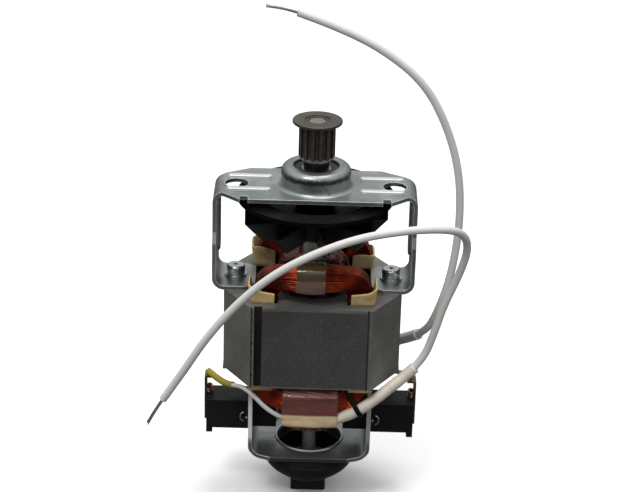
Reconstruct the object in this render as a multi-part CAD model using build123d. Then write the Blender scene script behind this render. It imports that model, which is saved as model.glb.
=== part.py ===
from build123d import *
import math
import os

os.makedirs("parts", exist_ok=True)

# Sizes are in millimetres. The shaft runs along Z with the pulley at the top. The origin is on
# the shaft axis, in the top face of the mounting plate, midway between its two mounting holes.

# Clearances
PRESS_GAP = 0.04
RUN_GAP = 0.04
BALL_GAP = 0.1
SLIDE_GAP = 0.1
SEAT_GAP = 0.1
TAPE_CLEARANCE = 0.22
BRUSH_GAP = 0.25

# Drive-end bracket
SHEET = 1.5
BEND_R = 3.75
BRACKET_WIDTH = 73.8
BRACKET_DROP = 38.0
MOUNT_SPACING = 57.15
MOUNT_HOLE_R = 4.3
PLATE_FRONT = 15.5
PLATE_BACK = 15.0
FRONT_FLAT_HALF = 27.0
BACK_FLAT_HALF = 24.0
LEG_HALF_WIDTH = 9.0
LEG_LOW_HALF_WIDTH = 10.5
LEG_STEP_DROP = 16.0
LEG_STEP_RUN = 4.0
FOOT_LENGTH = 15.6
FOOT_CORNER_R = 5.0
NOTCH_X = 25.5
NOTCH_WIDTH = 3.0
NOTCH_DEPTH = 3.0
RIB_LENGTH = 16.0
RIB_WIDTH = 2.6
RIB_HEIGHT = 0.8
RIB_X = 24.0
RIB_Y = 6.2
BEAD_WIDTH = 7.0
BEAD_DEPTH = 1.1
BEAD_TOP_DROP = 4.2
BEAD_LOW_DROP = 26.4

# Bearing and its cup
BEARING_R = 11.0
BEARING_BORE_R = 4.0
BEARING_WIDTH = 7.0
BALL_R = 1.98
BALL_COUNT = 7
BALL_PITCH_R = 7.5
RACE_LAND = 1.5
CUP_WALL = 1.65
CUP_HEIGHT = 8.0
CUP_LIP = 1.3
CUP_OPENING_R = 8.2
CUP_SHOULDER_R = 2.6
CUP_FOOT_R = 14.2
SEAL_THICKNESS = 0.4

# Stator
STACK_HEIGHT = 32.0
STACK_EDGE = 3.925
STACK_HALF_DEPTH = 25.5
STACK_FLAT_HALF = 22.0
STACK_SIDE_HALF = 9.0
BORE_R = 16.0
TIP_THICKNESS = 2.2
TIP_END_Y = 7.0
NECK_HALF_WIDTH = 12.6
SLOT_SIDE_X = 21.9
SLOT_END_Y = 20.7
SLOT_CORNER_R = 1.5
GROOVE_WIDTH = 4.0
GROOVE_DEPTH = 1.6
CLEAT_WIDTH = 1.2
PLATE_LABEL_THICKNESS = 0.3
PLATE_LABEL_LEFT = 17.9
PLATE_LABEL_RIGHT = 20.0
PLATE_LABEL_MARGIN = 1.0

# Field coils, given for the front right quarter as distances from the shaft axis
WIRE_R = 0.32
TURN_PITCH = 1.23
CORNER_PITCH = 1.7
FACE_TURNS = 6
SIDE_TURNS = 5
COIL_INNER_X = 13.1
COIL_FRONT_Y = 19.6
COIL_DEPTH = 6.8
END_FRONT_Y = 23.5
END_DEPTH_SCALE = 1.18
END_INNER_RISE = 5.0
END_RISE_SCALE = 1.18
LOW_END_INNER_RISE = 4.4
LOW_END_RISE_SCALE = 0.97
RISE_STRAIGHT_SHARE = 0.27
CORE_INSET = 0.6

# Coil tape and slot liners
TAPE_THICKNESS = 0.3
TOP_TAPE_LEFT = 6.0
TOP_TAPE_RIGHT = 4.4
LOW_TAPE_TOP_DROP = 1.4
LOW_TAPE_HEEL_Y = -16.6
LINER_THICKNESS = 0.3
LINER_CORNER_R = 1.4
CUFF_THICKNESS = 0.8
CUFF_LEAN_X = 0.13
CUFF_LEAN_Y = 0.165
CUFF_START_X = 13.8
CUFF_START_Y = 9.6
CUFF_INNER_Y = 11.4
CUFF_INNER_X = 14.4
LOW_CUFF_START_Y = 15.6
CUFF_HEIGHTS = {"front_right": 9.0, "front_left": 9.0, "rear_right": 5.6, "rear_left": 8.8}
LOW_CUFF_HEIGHT = 3.0

# Bracket screws
SCREW_LEG_GAP = 6.825
SCREW_R = 2.0
SCREW_HEAD_R = 3.4
SCREW_HEAD_HEIGHT = 2.4
SPRING_WASHER_R = 3.4
SPRING_WASHER_HEIGHT = 1.1
FLAT_WASHER_R = 4.0
FLAT_WASHER_HEIGHT = 0.8
SCREW_HOLE_GAP = 0.2
SCREW_TAIL = 2.0

# Rotor
PULLEY_SEAT_R = 3.175
JOURNAL_R = 2.5
COMMUTATOR_SEAT_R = 3.5
AIR_GAP = 0.4
ARMATURE_SLOTS = 12
SLOT_OPENING = 2.0
SLOT_FLOOR_R = 7.6
SLOT_LIP = 1.6
WINDING_R = 14.2
WINDING_TOP_RISE = 11.5
WINDING_LOW_RISE = 10.0
COMMUTATOR_R = 11.0
COMMUTATOR_TOP_DROP = 12.0
COMMUTATOR_LENGTH = 13.5
COMMUTATOR_BARS = 24
BAR_DEPTH = 3.9
BAR_SLIT = 0.5
RISER_R = 12.3
RISER_HEIGHT = 1.6
TEETH = 14
TOOTH_TIP_R = 6.6
GROOVE_R = 0.85
TOOTH_DEPTH = 1.28
PULLEY_LENGTH = 12.5
FLANGE_R = 9.0
FLANGE_THICKNESS = 1.2
FLANGE_DISH_R = 4.6
FLANGE_DISH_DEPTH = 0.35
SHAFT_END_RECESS = 0.5
COLLAR_R = 4.6
COLLAR_LENGTH = 3.5
PULLEY_WASHER_R = 5.6
PULLEY_WASHER_THICKNESS = 1.2

# Fan
FAN_R = 28.5
FAN_DROP = 3.2
FAN_RIM = 1.6
FAN_RING_R = 20.0
FAN_RING_STEP = 0.8
FAN_DISH = 4.8
FAN_DISH_R = 8.4
FAN_HUB_R = 7.0
FAN_BLADES = 9
BLADE_THICKNESS = 1.4
BLADE_R = 26.6
BLADE_STRAIGHT = 9.5
BLADE_HEIGHT = 16.5
BLADE_FOOT_R = 20.0

# Commutator-end bracket and rear bearing
CRADLE_HALF_WIDTH = 22.8
CRADLE_DROP = 34.5
CRADLE_HALF_DEPTH = 15.2
CRADLE_FRONT = 18.3
CRADLE_FRONT_FLAT = 14.0
CRADLE_FOOT_EDGE = 4.225
CRADLE_FOOT_HALF = 8.0
CRADLE_HOLE_R = 12.1
CRADLE_LIP = 1.3
CRADLE_LIP_DROP = 2.5
HOUSING_R = 18.2
HOUSING_RIM = 3.5
HOUSING_WAIST_R = 16.0
HOUSING_WAIST_DROP = 8.0
HOUSING_NECK_R = 11.6
HOUSING_NECK_DROP = 11.8
HOUSING_FLOOR_DROP = 13.5
HOUSING_PAD_DEPTH = 0.8
HOUSING_PAD_DROP = 3.0
HOUSING_CAVITY_R = 12.0
HOUSING_CAVITY_DROP = 7.5
BOSS_WIDTH = 13.2
BOSS_CORNER_R = 1.2
BOSS_DROP = 18.7
FELT_R = 8.0
FELT_HEIGHT = 3.0
BUSH_R = 5.0
BUSH_LENGTH = 7.3
BUSH_DROP = 16.3
THRUST_WASHER_R = 5.0
THRUST_WASHER_THICKNESS = 0.8

# Brush gear, given for the right-hand brush
BRUSH_LEVEL = -91.75
BRUSH_HALF_Y = 3.3
BRUSH_HALF_Z = 3.1
BRUSH_END_X = 26.0
TUBE_WALL = 0.5
TUBE_START_X = 12.0
HOLDER_START_X = 12.6
HOLDER_END_X = 39.0
HOLDER_HALF_Y = 6.0
HOLDER_HALF_Z = 5.85
HOLDER_NOSE_HALF = 5.2
WINDOW_GAP = 0.2
HOLDER_LUG_LENGTH = 2.3
HOLDER_LUG_DROP = 1.9
SPRING_R = 2.6
SPRING_WIRE = 0.6
TERMINAL_THICKNESS = 0.8
TERMINAL_HALF_Y = 3.0
TERMINAL_RISE = 14.0
TERMINAL_HOOK = 2.6
RIVET_X = 25.2
RIVET_R = 0.9
RIVET_HEAD = 0.5
RIVET_SHANK_R = 0.6
RIVET_SHANK = 1.5

# Wires and sleeves
SLEEVE_R = 2.1
SLEEVE_BORE_R = 1.55
LEAD_R = 1.45
STRAND_R = 0.65
JUMPER_R = 0.85
YELLOW_R = 1.25
YELLOW_BORE_R = 0.95
TIE_WIDTH = 1.6
TIE_THICKNESS = 0.45
TIE_SHARE = 0.42

# Levels worked out from the sizes above
STACK_TOP = -BRACKET_DROP
STACK_LOW = STACK_TOP - STACK_HEIGHT
CRADLE_TOP = STACK_LOW - CRADLE_DROP + SHEET
CRADLE_LOW = CRADLE_TOP - SHEET
BEARING_TOP = CUP_HEIGHT - CUP_LIP
BEARING_LOW = BEARING_TOP - BEARING_WIDTH
COLLAR_TOP = BEARING_TOP + COLLAR_LENGTH
PULLEY_LOW = COLLAR_TOP + PULLEY_WASHER_THICKNESS
PULLEY_TOP = PULLEY_LOW + PULLEY_LENGTH
FLANGE_TOP = PULLEY_TOP + FLANGE_THICKNESS
ARMATURE_R = BORE_R - AIR_GAP
COMMUTATOR_TOP = STACK_LOW - COMMUTATOR_TOP_DROP
COMMUTATOR_LOW = COMMUTATOR_TOP - COMMUTATOR_LENGTH
HALF_MOUNT = MOUNT_SPACING / 2
LEG_OUTER_X = BRACKET_WIDTH / 2
SCREW_X = LEG_OUTER_X - SHEET - SCREW_LEG_GAP
STACK_HALF_WIDTH = SCREW_X + STACK_EDGE
CRADLE_FOOT_X = SCREW_X + CRADLE_FOOT_EDGE
FAN_TOP = -FAN_DROP
COIL_WIDTH = (FACE_TURNS - 1) * TURN_PITCH + CORNER_PITCH
TERMINAL_TOP = BRUSH_LEVEL + TERMINAL_RISE
HOUSING_FLOOR = CRADLE_LOW - HOUSING_FLOOR_DROP
BOSS_LOW = CRADLE_LOW - BOSS_DROP
BUSH_LOW = CRADLE_LOW - BUSH_DROP

# Stations of the lower tape: place along X, front face, and drop of its lower side under the stack
LOW_TAPE_STATIONS = [
    (-10.2, -24.0, 17.1),
    (-5.0, -24.2, 17.4),
    (0.0, -24.3, 17.5),
    (5.0, -24.2, 17.4),
    (10.2, -24.0, 17.1),
]

# Routes of the sleeves, jumpers and lead wires
FRONT_SLEEVE = [
    (0.5, -21.4, -85.2),
    (9.3, -21.4, -84.4),
    (16.8, -22.6, -80.6),
    (23.6, -21.9, -75.6),
    (30.4, -19.2, -70.6),
    (34.4, -17.6, -67.8),
    (38.0, -17.0, -64.2),
]
REAR_SLEEVE = [
    (2.0, 21.5, -85.0),
    (9.3, 21.5, -84.4),
    (16.8, 22.8, -80.8),
    (24.4, 21.6, -75.6),
    (32.2, 17.4, -70.4),
    (36.2, 12.2, -66.4),
    (40.2, 7.2, -62.4),
]
JUMPER = [
    (-38.6, -1.2, -76.1),
    (-35.6, -4.4, -76.9),
    (-31.6, -8.6, -77.5),
    (-27.6, -13.6, -75.5),
    (-24.4, -18.6, -73.6),
    (-20.6, -21.6, -75.3),
    (-16.4, -22.0, -80.0),
    (-10.6, -21.7, -84.0),
    (-4.2, -21.4, -85.6),
    (3.5, -21.4, -84.9),
]
REAR_JUMPER = [
    (38.6, 1.2, -76.1),
    (35.4, 4.6, -77.6),
    (31.4, 9.4, -79.6),
    (27.0, 14.5, -81.6),
    (21.0, 17.8, -83.8),
    (13.5, 18.2, -85.2),
    (6.5, 17.9, -85.5),
    (1.5, 17.9, -85.4),
]
LEAD_A = [
    (38.0, 9.95, -64.6),
    (43.0, 3.7, -59.6),
    (46.8, 0.5, -48.8),
    (50.2, 1.0, -37.2),
    (52.2, 2.0, -24.5),
    (52.9, 2.0, -10.5),
    (51.6, 2.0, 6.0),
    (46.5, 2.0, 23.0),
    (37.5, 1.5, 39.5),
    (22.5, 1.0, 51.5),
    (5.5, 0.5, 59.8),
    (-7.9, 0.0, 64.5),
]
LEAD_A_TIP = (-19.7, 0.2, 66.6)
LEAD_B = [
    (35.12, -17.48, -67.08),
    (41.0, -16.5, -61.2),
    (44.4, -16.8, -50.5),
    (47.6, -17.2, -38.0),
    (52.2, -17.6, -26.5),
    (55.0, -19.6, -15.0),
    (52.4, -25.0, -6.6),
    (44.5, -30.5, -3.0),
    (31.0, -34.2, -2.6),
    (15.0, -35.4, -5.4),
    (-1.5, -35.6, -12.4),
    (-14.8, -34.6, -21.0),
    (-27.0, -33.4, -33.0),
    (-37.9, -32.3, -47.4),
    (-46.3, -31.0, -62.2),
    (-53.3, -30.0, -73.4),
]
LEAD_B_TIP = (-59.2, -29.6, -84.1)


# Shared helpers
def disc(radius, low, high):
    """A solid round bar about the shaft axis."""
    return Pos(0, 0, low) * Cylinder(radius, high - low, align=(Align.CENTER, Align.CENTER, Align.MIN))


def ring(outer, inner, low, high):
    """A round bar with a bore, about the shaft axis."""
    return disc(outer, low, high) - disc(inner, low, high)


def block(x_low, x_high, y_low, y_high, z_low, z_high):
    """A box given by its corners."""
    middle = Pos((x_low + x_high) / 2, (y_low + y_high) / 2, (z_low + z_high) / 2)
    return middle * Box(x_high - x_low, y_high - y_low, z_high - z_low)


def turned(outline):
    """A body of revolution from edges or points given as radius and height."""
    if isinstance(outline[0], tuple):
        outline = Polyline(*outline, close=True).edges()
    return revolve(Plane.XZ * make_face(outline), axis=Axis.Z)


def prism(points, low, high):
    """An upright prism with the plan outline given by its corners."""
    return Pos(0, 0, low) * extrude(make_face(Polyline(*points, close=True)), amount=high - low)


def around(shape, count, start=0.0):
    """Copies of a shape, evenly turned about the shaft axis."""
    return [Rot(0, 0, start + 360 * i / count) * shape for i in range(count)]


def bent_strip(points, half_width):
    """A strip of sheet bent along a line drawn in the XZ plane, as wide as twice half_width in Y."""
    line = FilletPolyline(*points, radius=BEND_R)
    return extrude(Plane.XZ * trace(line, SHEET), amount=half_width, both=True)


def both_sides(shape):
    """A shape at the right and its mirror image at the left."""
    return [shape, mirror(shape, about=Plane.YZ)]


# Drive-end bracket
def bearing_cup():
    """The drawn cup: a flared foot, a wall, and a rounded shoulder that turns in to a lip."""
    wall_r = BEARING_R + CUP_WALL
    shoulder_z = CUP_HEIGHT - CUP_SHOULDER_R
    shoulder_x = wall_r - CUP_SHOULDER_R
    diagonal = CUP_SHOULDER_R * math.sqrt(0.5)
    foot_rise = CUP_FOOT_R - wall_r
    foot_bulge = foot_rise * (1 - math.sqrt(0.5))
    outline = [
        Line((BEARING_R, -SHEET), (CUP_FOOT_R, -SHEET)),
        Line((CUP_FOOT_R, -SHEET), (CUP_FOOT_R, 0)),
        ThreePointArc((CUP_FOOT_R, 0), (wall_r + foot_bulge, foot_bulge), (wall_r, foot_rise)),
        Line((wall_r, foot_rise), (wall_r, shoulder_z)),
        ThreePointArc(
            (wall_r, shoulder_z),
            (shoulder_x + diagonal, shoulder_z + diagonal),
            (shoulder_x, CUP_HEIGHT),
        ),
        Line((shoulder_x, CUP_HEIGHT), (CUP_OPENING_R + CUP_LIP / 2, CUP_HEIGHT)),
        ThreePointArc(
            (CUP_OPENING_R + CUP_LIP / 2, CUP_HEIGHT),
            (CUP_OPENING_R, CUP_HEIGHT - CUP_LIP / 2),
            (CUP_OPENING_R + CUP_LIP / 2, BEARING_TOP),
        ),
        Line((CUP_OPENING_R + CUP_LIP / 2, BEARING_TOP), (BEARING_R, BEARING_TOP)),
        Line((BEARING_R, BEARING_TOP), (BEARING_R, -SHEET)),
    ]
    return turned(outline)


def rib(length, width, height):
    """One pressed stiffening rib with a rounded top."""
    bar = extrude(SlotOverall(length, width), amount=height)
    return fillet(bar.faces().sort_by(Axis.Z)[-1].edges(), 0.45 * height)


def leg_bead(width, depth):
    """A stiffening bead on the inner side of the right leg, round at its ends, pressed in by depth."""
    grow = (width - BEAD_WIDTH) / 2
    length = BEAD_LOW_DROP - BEAD_TOP_DROP + 2 * grow
    middle_z = -(BEAD_LOW_DROP + BEAD_TOP_DROP) / 2
    inner_x = LEG_OUTER_X - SHEET
    flat = Plane(origin=(inner_x, 0, middle_z), x_dir=(0, 0, 1), z_dir=(-1, 0, 0))
    return extrude(flat * SlotOverall(length, width), amount=depth)


def drive_end_bracket():
    middle_x = LEG_OUTER_X - SHEET / 2
    foot_x = LEG_OUTER_X - FOOT_LENGTH
    foot_z = STACK_TOP + SHEET / 2
    strip = bent_strip(
        [(foot_x, foot_z), (middle_x, foot_z), (middle_x, -SHEET / 2)]
        + [(-middle_x, -SHEET / 2), (-middle_x, foot_z), (-foot_x, foot_z)],
        PLATE_FRONT + SHEET,
    )
    bend = BEND_R + SHEET / 2
    corner_x = LEG_OUTER_X - bend
    plan = [(FRONT_FLAT_HALF, -PLATE_FRONT), (corner_x + SHEET, -LEG_HALF_WIDTH)]
    plan += [(LEG_OUTER_X + SHEET, -LEG_HALF_WIDTH), (LEG_OUTER_X + SHEET, LEG_HALF_WIDTH)]
    plan += [(corner_x + SHEET, LEG_HALF_WIDTH), (BACK_FLAT_HALF, PLATE_BACK)]
    plan += [(-x, y) for x, y in reversed(plan)]
    keep = prism(plan, -bend, SHEET)
    step_z = -LEG_STEP_DROP
    side = [(LEG_HALF_WIDTH, -bend), (LEG_HALF_WIDTH, step_z)]
    side += [(LEG_LOW_HALF_WIDTH, step_z - LEG_STEP_RUN), (LEG_LOW_HALF_WIDTH, STACK_TOP - SHEET)]
    side += [(-y, z) for y, z in reversed(side)]
    face = Plane.YZ * make_face(Polyline(*side, close=True))
    keep += extrude(face, amount=LEG_OUTER_X + SHEET, both=True)
    bracket = strip & keep
    tips = bracket.edges().filter_by(Axis.Z).filter_by_position(Axis.Z, STACK_TOP, STACK_TOP + SHEET)
    tips = [e for e in tips if abs(abs(e.center().X) - foot_x) < 0.01]
    bracket = fillet(tips, FOOT_CORNER_R)
    bracket += bearing_cup()
    bracket -= disc(BEARING_R, -2 * SHEET, BEARING_TOP)
    for side_x in (-1, 1):
        bracket -= Pos(side_x * HALF_MOUNT, 0, 0) * Cylinder(MOUNT_HOLE_R, 4 * SHEET)
        hole = Cylinder(SCREW_R + SCREW_HOLE_GAP, 4 * SHEET)
        bracket -= Pos(side_x * SCREW_X, 0, STACK_TOP) * hole
        notch = Box(NOTCH_WIDTH, 2 * NOTCH_DEPTH, 4 * SHEET)
        bracket -= Pos(side_x * NOTCH_X, -PLATE_FRONT, 0) * notch
        for side_y in (-1, 1):
            place = Pos(side_x * RIB_X, side_y * RIB_Y, 0)
            bracket += place * rib(RIB_LENGTH, RIB_WIDTH, RIB_HEIGHT)
            hollow = extrude(SlotOverall(RIB_LENGTH - SHEET, RIB_WIDTH - SHEET), amount=RIB_HEIGHT)
            bracket -= place * Pos(0, 0, -SHEET) * hollow
    bead = leg_bead(BEAD_WIDTH, BEAD_DEPTH)
    bead = fillet(bead.faces().sort_by(Axis.X)[0].edges(), 0.45 * BEAD_DEPTH)
    hollow = leg_bead(BEAD_WIDTH - SHEET, BEAD_DEPTH)
    for raised, sunk in zip(both_sides(bead), both_sides(Pos(SHEET, 0, 0) * hollow)):
        bracket = bracket + raised - sunk
    return bracket


# Bearing
def bearing_groove():
    """The space that the balls sweep, with their clearance."""
    circle = Pos(BALL_PITCH_R, 0) * Circle(BALL_R + BALL_GAP)
    return Pos(0, 0, (BEARING_TOP + BEARING_LOW) / 2) * revolve(Plane.XZ * circle, axis=Axis.Z)


def bearing_outer_ring():
    body = ring(BEARING_R - PRESS_GAP, BEARING_R - RACE_LAND, BEARING_LOW, BEARING_TOP)
    return body - bearing_groove()


def bearing_inner_ring():
    body = ring(BEARING_BORE_R + RACE_LAND, BEARING_BORE_R + PRESS_GAP, BEARING_LOW, BEARING_TOP)
    return body - bearing_groove()


def bearing_balls():
    middle = Pos(BALL_PITCH_R, 0, (BEARING_TOP + BEARING_LOW) / 2)
    return around(middle * Sphere(BALL_R), BALL_COUNT)


def bearing_cage():
    half = BALL_R - 0.4
    middle = (BEARING_TOP + BEARING_LOW) / 2
    cage = ring(BALL_PITCH_R + 0.8, BALL_PITCH_R - 0.8, middle - half, middle + half)
    for pocket in around(Pos(BALL_PITCH_R, 0, middle) * Sphere(BALL_R + SEAT_GAP), BALL_COUNT):
        cage -= pocket
    return cage


def bearing_seals():
    outer = BEARING_R - RACE_LAND - PRESS_GAP
    inner = BEARING_BORE_R + RACE_LAND + 2 * SEAT_GAP
    top = ring(outer, inner, BEARING_TOP - SEAL_THICKNESS, BEARING_TOP)
    low = ring(outer, inner, BEARING_LOW, BEARING_LOW + SEAL_THICKNESS)
    return [top, low]


# Rotor
def armature_shaft():
    outline = [(0, FLANGE_TOP - SHAFT_END_RECESS), (PULLEY_SEAT_R, FLANGE_TOP - SHAFT_END_RECESS)]
    outline += [(PULLEY_SEAT_R, COLLAR_TOP), (BEARING_BORE_R, COLLAR_TOP)]
    outline += [(BEARING_BORE_R, COMMUTATOR_TOP), (COMMUTATOR_SEAT_R, COMMUTATOR_TOP)]
    outline += [(COMMUTATOR_SEAT_R, COMMUTATOR_LOW), (JOURNAL_R, COMMUTATOR_LOW)]
    outline += [(JOURNAL_R, BUSH_LOW + SEAT_GAP), (0, BUSH_LOW + SEAT_GAP)]
    shaft = turned(outline)
    return chamfer(shaft.faces().sort_by(Axis.Z)[-1].edges(), 0.3)


def spacer_collar():
    return ring(COLLAR_R, BEARING_BORE_R + PRESS_GAP, BEARING_TOP, COLLAR_TOP)


def pulley_washer():
    return ring(PULLEY_WASHER_R, PULLEY_SEAT_R + PRESS_GAP, COLLAR_TOP, PULLEY_LOW)


def pulley():
    """The toothed body: round-bottomed grooves for a belt of 3 mm pitch."""
    profile = Circle(TOOTH_TIP_R) - Circle(PULLEY_SEAT_R + PRESS_GAP)
    groove_x = TOOTH_TIP_R - TOOTH_DEPTH + GROOVE_R
    groove = Pos(groove_x, 0) * Circle(GROOVE_R)
    groove += Pos(groove_x + GROOVE_R, 0) * Rectangle(2 * GROOVE_R, 2 * GROOVE_R)
    for cut in around(groove, TEETH, 90):
        profile -= cut
    return Pos(0, 0, PULLEY_LOW) * extrude(profile, amount=PULLEY_LENGTH)


def pulley_flange():
    flange = ring(FLANGE_R, PULLEY_SEAT_R + PRESS_GAP, PULLEY_TOP, FLANGE_TOP)
    flange -= disc(FLANGE_DISH_R, FLANGE_TOP - FLANGE_DISH_DEPTH, FLANGE_TOP)
    rims = [e for e in flange.edges() if abs(e.bounding_box().size.X - 2 * FLANGE_R) < 0.01]
    return fillet(rims, FLANGE_THICKNESS / 3)


def fan():
    """A disc with a step and a conical dish inside it, a hub, and radial blades hanging under it."""
    low = FAN_TOP - BLADE_HEIGHT
    disc_low = FAN_TOP - FAN_RIM
    dish_z = FAN_TOP - FAN_DISH
    bore = BEARING_BORE_R + PRESS_GAP
    outline = [(bore, low), (FAN_HUB_R, low), (FAN_HUB_R, dish_z - FAN_RIM)]
    outline += [(FAN_RING_R, disc_low - FAN_RING_STEP), (FAN_R, disc_low), (FAN_R, FAN_TOP)]
    outline += [(FAN_RING_R + FAN_RING_STEP, FAN_TOP), (FAN_RING_R, FAN_TOP - FAN_RING_STEP)]
    outline += [(FAN_DISH_R, dish_z), (FAN_HUB_R, dish_z), (FAN_HUB_R, FAN_TOP), (bore, FAN_TOP)]
    body = turned(outline)
    foot_x = FAN_HUB_R - FAN_RIM / 2
    blade = [(foot_x, low), (BLADE_FOOT_R, low), (BLADE_R, FAN_TOP - BLADE_STRAIGHT)]
    blade += [(BLADE_R, disc_low), (FAN_RING_R, disc_low - FAN_RING_STEP / 2)]
    blade.append((foot_x, dish_z - FAN_RIM / 2))
    plate = extrude(Plane.XZ * make_face(Polyline(*blade, close=True)), BLADE_THICKNESS / 2, both=True)
    for copy in around(plate, FAN_BLADES):
        body += copy
    return body


def armature_slot(gap):
    """The plan outline of one armature slot, drawn in by a gap on every side."""
    lip_r = ARMATURE_R - SLOT_LIP - gap
    half_pitch = math.pi / ARMATURE_SLOTS
    outer_half = 0.5 * lip_r * math.tan(half_pitch) - gap
    inner_half = 0.5 * SLOT_FLOOR_R * math.tan(half_pitch) - gap
    floor_r = SLOT_FLOOR_R + gap
    corners = [(floor_r, -inner_half), (lip_r, -outer_half), (lip_r, outer_half), (floor_r, inner_half)]
    return make_face(Polyline(*corners, close=True))


def armature_core():
    profile = Circle(ARMATURE_R) - Circle(BEARING_BORE_R + PRESS_GAP)
    opening = Pos(ARMATURE_R, 0) * Rectangle(3 * SLOT_LIP, SLOT_OPENING)
    for cut in around(armature_slot(0) + opening, ARMATURE_SLOTS):
        profile -= cut
    return Pos(0, 0, STACK_LOW) * extrude(profile, amount=STACK_HEIGHT)


def end_winding(level, rise):
    """The domed bundle of end turns at one end of the armature."""
    inner = BEARING_BORE_R + 3 * SEAT_GAP
    sign = 1 if rise > 0 else -1
    top = level + rise
    shoulder = level + 0.45 * rise
    bulge = (0.86 * WINDING_R, level + 0.86 * rise)
    outline = [
        Line((inner, level), (WINDING_R - 1, level)),
        Line((WINDING_R - 1, level), (WINDING_R, level + sign)),
        Line((WINDING_R, level + sign), (WINDING_R, shoulder)),
        ThreePointArc((WINDING_R, shoulder), bulge, (0.62 * WINDING_R, top)),
        Line((0.62 * WINDING_R, top), (inner, top - sign)),
        Line((inner, top - sign), (inner, level)),
    ]
    return turned(outline)


def armature_winding():
    bar = Pos(0, 0, STACK_LOW) * extrude(armature_slot(SEAT_GAP), amount=STACK_HEIGHT)
    body = end_winding(STACK_TOP, WINDING_TOP_RISE) + end_winding(STACK_LOW, -WINDING_LOW_RISE)
    for copy in around(bar, ARMATURE_SLOTS):
        body += copy
    return body


def commutator_hub():
    outer = COMMUTATOR_R - BAR_DEPTH - SEAT_GAP
    return ring(outer, COMMUTATOR_SEAT_R + PRESS_GAP, COMMUTATOR_LOW, COMMUTATOR_TOP)


def commutator_bars():
    inner = COMMUTATOR_R - BAR_DEPTH
    riser_low = COMMUTATOR_TOP - RISER_HEIGHT
    outline = [(inner, COMMUTATOR_LOW), (COMMUTATOR_R, COMMUTATOR_LOW), (COMMUTATOR_R, riser_low)]
    outline += [(RISER_R, riser_low), (RISER_R, COMMUTATOR_TOP), (inner, COMMUTATOR_TOP)]
    slit = math.degrees(BAR_SLIT / COMMUTATOR_R)
    face = Plane.XZ * make_face(Polyline(*outline, close=True))
    bar = revolve(face, axis=Axis.Z, revolution_arc=360 / COMMUTATOR_BARS - slit)
    return around(bar, COMMUTATOR_BARS)


def rear_thrust_washer():
    low = CRADLE_LOW - HOUSING_CAVITY_DROP + THRUST_WASHER_THICKNESS / 2
    return ring(THRUST_WASHER_R, JOURNAL_R + PRESS_GAP, low, low + THRUST_WASHER_THICKNESS)


# Stator
def stator_core():
    """The stack: an eight-sided yoke, two pole faces round the bore, and two windows for the coils."""
    outline = [(STACK_FLAT_HALF, -STACK_HALF_DEPTH), (STACK_HALF_WIDTH, -STACK_SIDE_HALF)]
    outline += [(STACK_HALF_WIDTH, STACK_SIDE_HALF), (STACK_FLAT_HALF, STACK_HALF_DEPTH)]
    outline += [(-x, y) for x, y in reversed(outline)]
    profile = make_face(Polyline(*outline, close=True))
    windows = RectangleRounded(2 * SLOT_SIDE_X, 2 * SLOT_END_Y, SLOT_CORNER_R)
    windows -= Rectangle(2 * NECK_HALF_WIDTH, 2 * SLOT_END_Y)
    windows -= Circle(BORE_R + TIP_THICKNESS)
    windows += Rectangle(2 * SLOT_SIDE_X, 2 * TIP_END_Y)
    windows += Circle(BORE_R)
    profile -= windows
    for side_x in (-1, 1):
        profile -= Pos(side_x * SCREW_X, 0) * Circle(SCREW_R + SCREW_HOLE_GAP)
        groove_x = side_x * (STACK_FLAT_HALF - GROOVE_WIDTH / 2)
        groove = Rectangle(GROOVE_WIDTH, 2 * GROOVE_DEPTH)
        profile -= Pos(groove_x, side_x * STACK_HALF_DEPTH) * groove
    return Pos(0, 0, STACK_LOW) * extrude(profile, amount=STACK_HEIGHT)


def stack_cleats():
    """Two strips that lie in the corner grooves and hold the laminations together."""
    face_y = STACK_HALF_DEPTH
    x_low = STACK_FLAT_HALF - CLEAT_WIDTH
    cleat = block(x_low, STACK_FLAT_HALF, face_y - GROOVE_DEPTH, face_y, STACK_LOW, STACK_TOP)
    return around(cleat, 2)


def rating_plate():
    """The dark plate on the front face, with nothing on it."""
    front = -STACK_HALF_DEPTH
    low = STACK_LOW + PLATE_LABEL_MARGIN
    high = STACK_TOP - PLATE_LABEL_MARGIN
    thickness = PLATE_LABEL_THICKNESS
    return block(-PLATE_LABEL_LEFT, PLATE_LABEL_RIGHT, front - thickness, front, low, high)


# Field coils. A strand's place in the bundle is its distance out from the innermost turn and its
# distance back from the front face, both measured in the slot.
def side_point(out, back, level):
    return Vector(COIL_INNER_X + out, back - COIL_FRONT_Y, level)


def end_rise(out, sign):
    """How far a strand's end turn reaches past the stack."""
    if sign < 0:
        return LOW_END_INNER_RISE + out * LOW_END_RISE_SCALE
    return END_INNER_RISE + out * END_RISE_SCALE


def bend_level(out, level, sign):
    """Where a strand begins to bend: at once below the stack, and after a straight rise above it."""
    if sign < 0:
        return level
    return level + RISE_STRAIGHT_SHARE * end_rise(out, sign)


def end_point(out, back, level, sign):
    return Vector(0, back * END_DEPTH_SCALE - END_FRONT_Y, level + sign * end_rise(out, sign))


def biarc(start, start_way, end, end_way):
    """Two arcs that leave start along start_way and reach end along end_way."""
    chord = end - start
    both = start_way + end_way
    square = 2 * (1 - start_way.dot(end_way))
    along = chord.dot(both)
    reach = (math.sqrt(along**2 + square * chord.dot(chord)) - along) / square
    first = start + start_way * reach
    second = end - end_way * reach
    joint = (first + second) * 0.5
    way = (second - first).normalized()
    return [TangentArc(start, joint, tangent=start_way), TangentArc(joint, end, tangent=way)]


def quarter(out, back, end_out, end_back, level, sign, side):
    """A strand's quarter turn from its straight run at one side to the middle of an end turn."""
    start = side_point(out, back, bend_level(out, level, sign))
    start = Vector(side * start.X, start.Y, start.Z)
    end = end_point(end_out, end_back, level, sign)
    return start, Vector(0, 0, sign), end, Vector(-side, 0, 0)


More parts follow.
